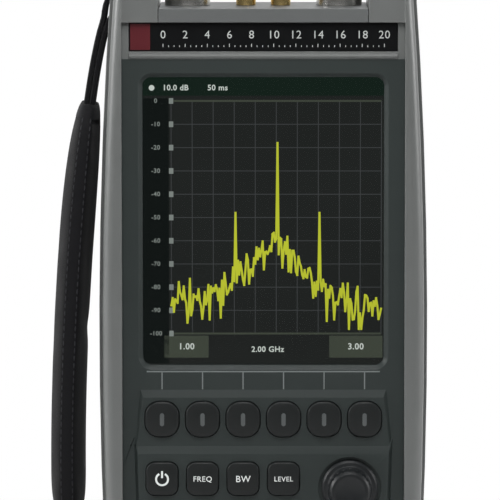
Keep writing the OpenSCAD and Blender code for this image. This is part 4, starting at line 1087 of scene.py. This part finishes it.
class ANALYZER_OT_keys(Piece, bpy.types.Operator):
    """Round the keys and print their legends"""
    bl_idname = "analyzer.keys"
    bl_label = "Keys"
    # Millimetres, with the sign's arc in degrees and the rings of the top as shares.
    flange, stem_r = 0.95, 2.5
    dome_r, arch_r = 40.0, 36.0
    soft_corner, soft_edge = 6.5, 0.7
    hard_corner, hard_edge = 4.0, 0.6
    edge_steps, top_rings = 4, (0.85, 0.68, 0.5, 0.3, 0.12)
    sunk, proud = 0.03, 0.05
    mark_r, mark_reach, mark_points = 1.0, 2.0, 24
    arrow_half, arrow_foot, arrow_tip = 3.0, 2.0, 2.8
    sign_outer, sign_inner, sign_start, sign_arc, sign_steps = 3.2, 2.3, 118, 304, 28
    sign_bar_w, sign_bar_low, sign_bar_high = 0.9, 0.6, 3.8
    legends = {
        "frequency": ("FREQ", 3.5), "bandwidth": ("BW", 4.2), "amplitude": ("LEVEL", 3.2),
        "seven": ("7", 6.4), "eight": ("8", 6.4), "nine": ("9", 6.4), "sign": ("+/-", 5.0),
        "four": ("4", 6.4), "five": ("5", 6.4), "six": ("6", 6.4), "point": (".", 9.0),
        "one": ("1", 6.4), "two": ("2", 6.4), "three": ("3", 6.4), "zero": ("0", 6.4),
        "enter": ("ENTER", 4.2)}

    def execute(self, context):
        for node in SOFT_KEYS:
            self.soft_key(node)
        for name in [*self.legends, "power", "up", "down"]:
            self.hard_key(name)
        painted("keypad_mat", "mat")
        painted("keypad_board", "board")
        painted("board_screws", "steel")
        return {"FINISHED"}

    def crown(self, node, arched=False):
        """Middle and top of a key, and how far its top falls away from there."""
        x0, z0 = centre(node)
        _, _, (_, top) = seen(node)

        def arch(x, z):
            return math.sqrt(self.arch_r ** 2 - (z - z0) ** 2) - self.arch_r

        def dome(x, z):
            return math.sqrt(self.dome_r ** 2 - (x - x0) ** 2 - (z - z0) ** 2) - self.dome_r

        return x0, z0, top, arch if arched else dome

    def cap(self, node, corner, fall, edge):
        """A key from plunger to crown: flange behind the panel, upright wall, rounded edge, curved top."""
        (left, right), (low, high), (_, top) = seen(node)
        x0, z0 = centre(node)
        wide, tall = right - left - 2 * self.flange, high - low - 2 * self.flange
        depths = sorted({round(-v.co.y / MM, 2) for v in frame["nodes"][node].data.vertices})
        stem, back, panel = depths[:3]

        def flat(depth):
            return lambda x, z: depth

        def below_crown(sink):
            return lambda x, z: top + fall(x, z) - sink

        def ring(inset, depth, shrink=1.0):
            shape = soft_rect(wide - 2 * inset, tall - 2 * inset, corner - inset)
            spots = [(x0 + x * shrink, z0 + z * shrink) for x, z in shape]
            return [place(x, z, depth(x, z)) for x, z in spots]

        def disc(depth):
            turns = [math.atan2(z, x) for x, z in soft_rect(wide, tall, corner)]
            rim = [(x0 + self.stem_r * math.cos(t), z0 + self.stem_r * math.sin(t)) for t in turns]
            return [place(x, z, depth) for x, z in rim]

        rings = [disc(stem), disc(back)]
        rings += [ring(-self.flange, flat(back)), ring(-self.flange, flat(panel)), ring(0.0, flat(panel))]
        for k in range(self.edge_steps + 1):
            turn = math.pi / 2 * k / self.edge_steps
            rings.append(ring(edge * (1 - math.cos(turn)), below_crown(edge * (1 - math.sin(turn)))))
        rings += [ring(edge, below_crown(0.0), shrink) for shrink in self.top_rings]
        bm = bmesh.new()
        lofted(bm, rings)
        piece = linked(node + "_skin", solid_mesh(node + "_skin", bm, angle=40.0))
        dressed(piece, ["key"], frame["nodes"][node]["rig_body"], node)

    def soft_key(self, node):
        """A key with an upright oblong lighter mark on its crown, a painted highlight."""
        x, z, top, fall = self.crown(node)
        self.cap(node, self.soft_corner, fall, self.soft_edge)
        # The oblong is a painted highlight of the key's crown, laid on as a thin plate.
        shape = []
        for k in range(self.mark_points):
            turn = 2 * math.pi * k / self.mark_points
            reach = self.mark_reach if math.sin(turn) >= 0 else -self.mark_reach
            shape.append((x + self.mark_r * math.cos(turn), z + self.mark_r * math.sin(turn) + reach))
        plates = Plates(fall)
        plates.outline(shape, top - self.sunk, top + self.proud)
        plates.done(node + "_mark", ["mark"], node + "_cap")

    def hard_key(self, name):
        """A key with a word, a figure or a sign."""
        node = name + "_key"
        x, z, top, fall = self.crown(node, name == "enter")
        self.cap(node, self.hard_corner, fall, self.hard_edge)
        plates = Plates(fall)
        back, front = top - self.sunk, top + self.proud
        if name == "power":
            self.power_sign(plates, x, z, back, front)
        elif name in ("up", "down"):
            turn = 1 if name == "up" else -1
            foot, tip = z - self.arrow_foot * turn, z + self.arrow_tip * turn
            arrow = [(x - self.arrow_half, foot), (x + self.arrow_half, foot), (x, tip)]
            plates.outline(arrow[::turn], back, front)
        else:
            words, size = self.legends[name]
            plates.letters(words, x, z, size, back, front, weight=0.004)
        plates.done(node + "_legend", ["legend"], node + "_cap")

    def power_sign(self, plates, x, z, back, front):
        """An open ring with a bar."""
        shares = [k / self.sign_steps for k in range(self.sign_steps + 1)]
        turns = [math.radians(self.sign_start + self.sign_arc * share) for share in shares]
        rim = [(self.sign_outer, t) for t in turns] + [(self.sign_inner, t) for t in turns[::-1]]
        plates.outline([(x + r * math.cos(t), z + r * math.sin(t)) for r, t in rim], back, front)
        half = self.sign_bar_w / 2
        plates.bar(x - half, x + half, z + self.sign_bar_low, z + self.sign_bar_high, back, front)


class ANALYZER_OT_knob(Piece, bpy.types.Operator):
    """Round and finish the knob and its encoder"""
    bl_idname = "analyzer.knob"
    bl_label = "Knob"

    def execute(self, context):
        rounded("knob", "knob", width=0.00016, angle=32.0)
        painted("encoder", "steel")
        painted("encoder_shaft", "steel")
        return {"FINISHED"}


class ANALYZER_OT_connectors(Piece, bpy.types.Operator):
    """Turn the connectors on the top panel and wind their threads"""
    bl_idname = "analyzer.connectors"
    bl_label = "Connectors"
    # Millimetres, with the insulating sleeve in shares of its bore.
    crown_top = 303.5
    undercut, thread_clear, ridge_share = 0.9, 1.9, 0.98
    sleeve_inner, sleeve_outer, sleeve_rise = 0.42, 0.96, 0.3

    def execute(self, context):
        self.tree = thread_tree()
        self.pair(
            "rf", "nickel", collar=10.5, collar_h=4.5, crest=7.94, rise=10.0, tail=6.5, foot=286.0,
            bore=4.2, depth=9.0, pitch=1.058)
        self.pair(
            "sma", "gold", collar=4.6, collar_h=3.5, crest=3.175, rise=6.5, tail=2.9, foot=290.0,
            bore=2.3, depth=4.0, pitch=0.706)
        painted("connector_nuts", "steel")
        painted("connector_contacts", "gold")
        painted("coax_leads", "copper")
        return {"FINISHED"}

    def pair(self, name, finish, collar, collar_h, crest, rise, tail, foot, bore, depth, pitch):
        """Two connectors: a turned body each, with a flange, an undercut and a bored barrel."""
        (_, reach), _, _ = seen(name + "_connectors")
        spots = (collar - reach, reach - collar)
        ridge = pitch / 2
        core = crest - ridge
        seat = self.crown_top + collar_h
        top = seat + rise
        well = top - depth
        profile = [
            (0.0, foot), (tail, foot), (tail, self.crown_top), (collar - 0.3, self.crown_top),
            (collar, self.crown_top + 0.3), (collar, seat - 0.5), (collar - 0.5, seat),
            (core - 0.2, seat), (core - 0.2, seat + 0.7), (core, seat + self.undercut),
            (core, top - self.undercut), (core - 0.25, top - 0.25), (core - 0.6, top),
            (bore + 0.35, top), (bore, top - 0.35), (bore, well), (0.0, well)]
        bodies = self.turned(name + "_bodies", spots, profile, 64)
        dressed(bodies, [finish], INSTRUMENT, name + "_connectors")
        inner, outer = bore * self.sleeve_inner, bore * self.sleeve_outer
        low, high = well + 0.02, well + depth * self.sleeve_rise
        sleeve = [(inner, low), (outer, low), (outer, high), (inner, high), (inner, low)]
        dressed(self.turned(name + "_insulators", spots, sleeve, 40), ["insulator"], INSTRUMENT)
        turns = math.floor((rise - self.thread_clear) / pitch)
        for label, x in zip(("left", "right"), spots):
            thread = grown(
                f"{name}_thread_{label}", self.tree, Turns=float(turns), Radius=core * MM,
                Rise=turns * pitch * MM, Ridge=ridge * self.ridge_share * MM,
                Place=place(x, seat + self.undercut, 0.0), Finish=FINISHES[finish])
            smooth(thread.data, angle=30.0)
            dressed(thread, [finish], INSTRUMENT)

    def turned(self, name, spots, profile, count):
        """One piece: a closed outline spun round an upright axis at each spot."""
        turns = [2 * math.pi * k / count for k in range(count)]
        bm = bmesh.new()
        for x in spots:
            rows = []
            for r, z in profile:
                if r == 0.0:
                    rows.append([bm.verts.new(place(x, z, 0.0))] * count)
                else:
                    rim = [place(x + r * math.cos(a), z, r * math.sin(a)) for a in turns]
                    rows.append([bm.verts.new(spot) for spot in rim])
            for low, high in zip(rows, rows[1:]):
                for k in range(count):
                    n = (k + 1) % count
                    bm.faces.new(list(dict.fromkeys((low[n], low[k], high[k], high[n]))))
            bmesh.ops.remove_doubles(bm, verts=bm.verts, dist=1e-7)
        return linked(name, solid_mesh(name, bm, angle=32.0))


class ANALYZER_OT_back(Piece, bpy.types.Operator):
    """Round and finish the stand, the doors, the sockets and the screws"""
    bl_idname = "analyzer.back"
    bl_label = "Back and sides"

    def execute(self, context):
        edge = context.scene.analyzer_case.edge
        rounded("bail_stand", "stand", edge)
        rounded("battery_door", "case", edge)
        rounded("port_door", "bumper", edge * 0.8)
        rounded("port_block", "socket", edge * 0.6)
        rounded("case_screws", "steel", width=0.0002)
        rounded("battery_pack", "battery", width=0.0016, segments=4)
        rounded("strap_anchor", "anchor", width=0.0005)
        painted("hinge_pins", "steel")
        painted("main_board", "board")
        painted("rf_module", "can")
        return {"FINISHED"}


class ANALYZER_OT_strap(Piece, bpy.types.Operator):
    """Sew the hand strap: woven band, padded sleeve, edge tape and stitches"""
    bl_idname = "analyzer.strap"
    bl_label = "Hand strap"
    # Millimetres, with insets and tucks in shares of the strap and maps in about centimetres.
    sleeve_steps, sleeve_sides, sleeve_map = 52, 32, (19.5, 11.0)
    held_rings, held_reach, settle_frames, most_move = 2, 0.14, 20, 0.5
    tape_spread, tape_steps, tape_inset, tape_map = math.radians(15), 90, 0.004, (20.0, 0.12)
    tape_rise, tape_sink, puckers = 0.5, -0.3, ((0.12, 2.1), (0.08, 5.3))
    ends = ((PAD_START + 0.001, PAD_START + 0.018), (PAD_END - 0.012, PAD_END - 0.001))
    end_tape, end_turns, end_steps, end_map = 0.4, 48, 5, 0.2
    row_inset, row_steps, row_share, row_lift = 0.02, 60, 0.7, 0.55
    thread_r, stitch_share = 0.28, 0.36
    band_steps, band_half, selvedge, rim_share = 44, 1.25, 0.7, 0.55
    band_tuck, band_map = 0.012, (0.15, 0.3)
    band_lie, loop_lie, opening, bend_steps = 1.27, 1.2, 11.0, 16
    sewn_run, sewn_lift, sewn_rows = (24, 34), 1.1, (-9.0, -3.0, 3.0, 9.0)

    def execute(self, context):
        looks = context.scene.analyzer_strap
        self.stitches = stitch_tree()
        self.sleeve(looks)
        self.bindings(looks)
        self.webbing(looks)
        return {"FINISHED"}

    def sleeve(self, looks):
        """A full tube of cloth, drawn in at the ends and held along both edge seams."""
        steps, sides = self.sleeve_steps, self.sleeve_sides
        shares = [(1 - math.cos(math.pi * j / steps)) / 2 for j in range(steps + 1)]
        spots = [PAD_START + (PAD_END - PAD_START) * share for share in shares]
        rings = [[pad_point(t, 2 * math.pi * k / sides) for k in range(sides)] for t in spots]
        along, around = self.sleeve_map[0] / steps, self.sleeve_map[1] / sides
        bm = bmesh.new()
        lofted(bm, rings, lambda j, k: (j * along, k * around))
        piece = linked("strap_sleeve", solid_mesh("strap_sleeve", bm, angle=180.0))
        self.relaxed(piece)
        fine = piece.modifiers.new("fine", "SUBSURF")
        fine.levels = fine.render_levels = 1
        to_plain(piece)
        dressed(piece, ["sleeve"], INSTRUMENT, "strap_pad")

    def relaxed(self, piece):
        """Lets the cloth settle over its stuffing between the seams, and limits how far it moves."""
        rest = [vert.co.copy() for vert in piece.data.vertices]
        held = []
        for number in range(len(rest)):
            ring, spot = divmod(number, self.sleeve_sides)
            off_seam = abs((spot / self.sleeve_sides * 4) % 2 - 1)
            at_end = ring < self.held_rings or ring > self.sleeve_steps - self.held_rings
            if at_end or off_seam < self.held_reach:
                held.append(number)
        piece.vertex_groups.new(name="seams").add(held, 1.0, "REPLACE")
        cloth = piece.modifiers.new("cloth", "CLOTH")
        cloth.settings.vertex_group_mass = "seams"
        cloth.settings.quality = 6
        cloth.settings.mass = 0.2
        cloth.settings.tension_stiffness = 20
        cloth.settings.compression_stiffness = 20
        cloth.settings.bending_stiffness = 0.4
        cloth.settings.shrink_min = -0.004
        cloth.settings.use_pressure = True
        cloth.settings.uniform_pressure_force = 4.0
        cloth.settings.effector_weights.gravity = 0.0
        cloth.collision_settings.use_collision = False
        scene = bpy.context.scene
        for number in range(1, self.settle_frames + 1):
            scene.frame_set(number)
        to_plain(piece)
        scene.frame_set(1)
        for vert, start in zip(piece.data.vertices, rest):
            move = vert.co - start
            if move.length > self.most_move * MM:
                vert.co = start + move.normalized() * self.most_move * MM

    def stretch(self, inset, steps):
        """Even places along the sleeve, between ends that are set in."""
        first, last = PAD_START + inset, PAD_END - inset
        return [first + (last - first) * j / steps for j in range(steps + 1)]

    def tape(self, spots, rise, sink):
        """Closed outline of a tape laid over places on the sleeve."""
        outer = [pad_point(t, a, rise) for t, a in spots]
        return outer + [pad_point(t, a, sink) for t, a in spots[::-1]]

    def bindings(self, looks):
        """Tape round the two long edges and both ends of the sleeve, with rows of stitches beside it."""
        bm = bmesh.new()
        rows = []
        for quarter in (math.pi / 2, 3 * math.pi / 2):
            fan = [quarter + self.tape_spread * (2 * i / 10 - 1) for i in range(11)]
            rings = []
            for j, t in enumerate(self.stretch(self.tape_inset, self.tape_steps)):
                pucker = sum(size * math.sin(j * rate) for size, rate in self.puckers)
                rings.append(self.tape([(t, a) for a in fan], self.tape_rise + pucker, self.tape_sink))
            along, around = self.tape_map[0] / self.tape_steps, self.tape_map[1]
            lofted(bm, rings, lambda j, k: (j * along, k * around))
            for side in (-1, 1):
                beside = quarter + side * self.tape_spread * self.row_share
                spots = self.stretch(self.row_inset, self.row_steps)
                rows.append([pad_point(t, beside, self.row_lift) for t in spots])
        for first, last in self.ends:
            spots = [first + (last - first) * i / self.end_steps for i in range(self.end_steps + 1)]
            turns = [2 * math.pi * k / self.end_turns for k in range(self.end_turns)]
            rings = [self.tape([(t, a) for t in spots], self.end_tape, -self.end_tape) for a in turns]
            lofted(bm, rings + rings[:1], lambda j, k: (j * self.end_map, k * self.end_map), caps=False)
        bmesh.ops.remove_doubles(bm, verts=bm.verts, dist=1e-7)
        piece = linked("strap_binding", solid_mesh("strap_binding", bm, angle=60.0))
        dressed(piece, ["binding"], INSTRUMENT)
        for number, points in enumerate(rows):
            self.sewn(f"sleeve_stitches_{number + 1}", points, looks)

    def sewn(self, name, points, looks):
        """One row of stitches along a path."""
        row = grown(
            name, self.stitches, wire("path", points), Spacing=looks.stitch, Thickness=self.thread_r * MM,
            Reach=looks.stitch * self.stitch_share, Finish=FINISHES["thread"])
        smooth(row.data, angle=60.0)
        dressed(row, ["thread"], INSTRUMENT)

    def webbing(self, looks):
        """A band folded round the pin and one round the anchor bar, each lying double up to the sleeve."""
        near, far = self.sewn_run
        along, around = self.band_map
        for name, first, last, eye in (
                ("upper", PAD_START + self.band_tuck, 0.0, PIN),
                ("lower", PAD_END - self.band_tuck, 1.0, ANCHOR)):
            path = self.folded(first, last, eye)
            bm = bmesh.new()
            lofted(bm, [self.section(*step) for step in path], lambda j, k: (j * along, k * around))
            label = "strap_webbing_" + name
            piece = linked(label, solid_mesh(label, bm, angle=50.0))
            dressed(piece, ["webbing"], INSTRUMENT, "strap_webbing")
            for layer, run in (("inner", path[near:far]), ("outer", path[-far:-near])):
                lifted = [spot + side * self.sewn_lift for spot, side in run]
                for number, offset in enumerate(self.sewn_rows):
                    points = [place(*spot, STRAP_D + offset) for spot in lifted]
                    self.sewn(f"web_stitches_{name}_{layer}_{number + 1}", points, looks)

    def folded(self, first, last, eye):
        """Middle line of the band: out along one side, round the bar and back, with its outward side."""
        reach = PIN_R + LOOP_PLAY + self.loop_lie
        run = []
        for j in range(self.band_steps + 1):
            t = first + (last - first) * j / self.band_steps
            spot = strap_at(t)
            near = max(0.0, 1.0 - (spot - eye).length / self.opening)
            swell = near * near * (3 - 2 * near)
            run.append((spot, strap_side(t), self.band_lie + (reach - self.band_lie) * swell))
        sign = -1 if last < first else 1
        out = [(spot + side * sign * off, side * sign) for spot, side, off in run]
        back = [(spot - side * sign * off, -side * sign) for spot, side, off in run][::-1]
        start = out[-1][1]

        def bend(way):
            turns = [way * math.pi * j / self.bend_steps for j in range(1, self.bend_steps)]
            sides = [Matrix.Rotation(turn, 2) @ start for turn in turns]
            return [(eye + side * reach, side) for side in sides]

        arc = bend(-1)
        tip = strap_at(last) - strap_at(last - 0.01 * sign)
        if arc[len(arc) // 2][1].dot(tip) < 0:
            arc = bend(1)
        return out + arc + back

    def section(self, spot, side):
        """Closed outline of the band: flat faces and rounded selvedges."""
        half, wide = self.band_half, WEB_W / 2
        rim, flat = half * self.rim_share, wide - self.selvedge
        face = [(half, -flat + 2 * flat * k / 6) for k in range(7)]
        shape = [(-rim, -wide), (rim, -wide), *face, (rim, wide), (-rim, wide)]
        shape += [(-a, -b) for a, b in face]
        return [place(*(spot + side * a), STRAP_D + b) for a, b in shape]


class ANALYZER_OT_stage(Piece, bpy.types.Operator):
    """Lay the floor, hang the backdrop, set the lamps and the camera"""
    bl_idname = "analyzer.stage"
    bl_label = "Stage"
    # Metres, with the fade per metre and the sensor in millimetres.
    half_w, wall_y, wall_h, bend_r = 12.0, 6.0, 4.0, 0.8
    fade = 5.0
    sensor_w, panel_face = 36.0, 0.028

    def execute(self, context):
        looks = context.scene.analyzer_stage
        scene = context.scene
        scene.view_settings.view_transform = "Standard"
        self.ground(looks)
        self.light(scene, looks)
        self.camera(scene, looks)
        return {"FINISHED"}

    def ground(self, looks):
        """A floor that rises to a backdrop: light and shadow near the object, plain white farther out."""
        f = Finish("pale_floor", Specular_IOR_Level=0.2)
        cloud = f.noise(6.0, 3.0)
        tone = tuple(looks.floor)
        f.set("Base Color", f.mix(cloud, shade(tone, 0.97), shade(tone, 1.03)))
        f.set("Roughness", 0.7 + cloud * 0.15)
        path = f.tree.nodes.new("ShaderNodeLightPath")
        direct, glossy, through = [
            Value(f, path.outputs[n]) for n in ("Is Camera Ray", "Is Glossy Ray", "Is Transmission Ray")]
        away = f.add("ShaderNodeVectorMath", {"operation": "LENGTH"}, {0: f.place()}, "Value")
        behind = f.along("Y") > looks.pool
        rays = (direct + (glossy + through) * behind).clamped()
        far = ((away - looks.pool) * self.fade).clamped()
        white = f.add("ShaderNodeEmission", {}, {"Color": (1, 1, 1, 1), "Strength": 1.0})
        both = f.add("ShaderNodeMixShader", {}, {0: rays * far, 1: Value(f, f.shader.outputs[0]), 2: white})
        out = next(n for n in f.tree.nodes if n.type == "OUTPUT_MATERIAL")
        f.feed(out.inputs["Surface"], both)
        start, r = self.wall_y - self.bend_r, self.bend_r
        turns = [math.pi / 16 * k for k in range(9)]
        bend = [(start + r * math.sin(a), r - r * math.cos(a)) for a in turns]
        profile = [(-self.half_w, 0.0), *bend, (self.wall_y, self.wall_h)]
        mesh = bpy.data.meshes.new("floor")
        points = [(x, y, z) for y, z in profile for x in (-self.half_w, self.half_w)]
        faces = [(2 * k, 2 * k + 1, 2 * k + 3, 2 * k + 2) for k in range(len(profile) - 1)]
        mesh.from_pydata(points, [], faces)
        mesh.materials.append(f.material)
        mesh.shade_smooth()
        linked("floor", mesh)

    def light(self, scene, looks):
        world = bpy.data.worlds.new("studio")
        scene.world = world
        world.use_nodes = True
        ground = world.node_tree.nodes["Background"]
        ground.inputs["Color"].default_value = (1, 1, 1, 1)
        ground.inputs["Strength"].default_value = looks.world
        aim = Vector((0, 0, 0.18))
        for name, spot, size, power in (
                ("left", (-1.25, -0.15, 0.6), 0.45, looks.softbox * 2.1),
                ("right", (1.25, -0.1, 0.5), 0.5, looks.softbox * 1.15),
                ("top", (0.0, -0.45, 0.85), 0.4, looks.softbox),
                ("rear", (0.4, 1.0, 0.9), 0.8, looks.softbox * 0.6)):
            lamp = bpy.data.lights.new(name, "AREA")
            lamp.shape = "SQUARE"
            lamp.size = size
            lamp.energy = power
            obj = linked(name, lamp)
            obj.location = spot
            obj.rotation_euler = (aim - Vector(spot)).to_track_quat("-Z", "Y").to_euler()

    def camera(self, scene, looks):
        lens = bpy.data.cameras.new("camera")
        lens.sensor_width = self.sensor_w
        lens.lens = self.sensor_w * (looks.distance - self.panel_face) / looks.width
        lens.shift_x = looks.shift
        lens.clip_start, lens.clip_end = 0.01, 20.0
        obj = linked("camera", lens)
        back, rise = looks.distance * math.cos(looks.tilt), looks.distance * math.sin(looks.tilt)
        obj.location = (0.0, -back, looks.height + rise)
        obj.rotation_euler = (math.pi / 2 - looks.tilt, 0.0, 0.0)
        scene.camera = obj


STEPS = (
    ANALYZER_OT_finishes, ANALYZER_OT_stage, ANALYZER_OT_case, ANALYZER_OT_prints, ANALYZER_OT_screen,
    ANALYZER_OT_keys, ANALYZER_OT_knob, ANALYZER_OT_connectors, ANALYZER_OT_back, ANALYZER_OT_strap)


class VIEW3D_PT_analyzer(bpy.types.Panel):
    """Pieces of the instrument and their looks"""
    bl_label = "Spectrum Analyzer"
    bl_idname = "VIEW3D_PT_analyzer"
    bl_space_type = "VIEW_3D"
    bl_region_type = "UI"
    bl_category = "Analyzer"

    def draw(self, context):
        for step in STEPS:
            self.layout.operator(step.bl_idname)
        for group in GROUPS:
            box = self.layout.box()
            looks = getattr(context.scene, group)
            for name in looks.__annotations__:
                box.prop(looks, name)


GROUPS = {
    "analyzer_case": CaseLooks, "analyzer_screen": ScreenLooks,
    "analyzer_strap": StrapLooks, "analyzer_stage": StageLooks}


def register():
    for kind in (*GROUPS.values(), *STEPS, VIEW3D_PT_analyzer):
        bpy.utils.register_class(kind)
    for name, kind in GROUPS.items():
        setattr(bpy.types.Scene, name, PointerProperty(type=kind))


def unregister():
    for name in GROUPS:
        delattr(bpy.types.Scene, name)
    for kind in (VIEW3D_PT_analyzer, *STEPS[::-1], *GROUPS.values()):
        bpy.utils.unregister_class(kind)


def main():
    register()
    for step in STEPS:
        group, name = step.bl_idname.split(".")
        getattr(getattr(bpy.ops, group), name)()


if __name__ == "__main__":
    main()
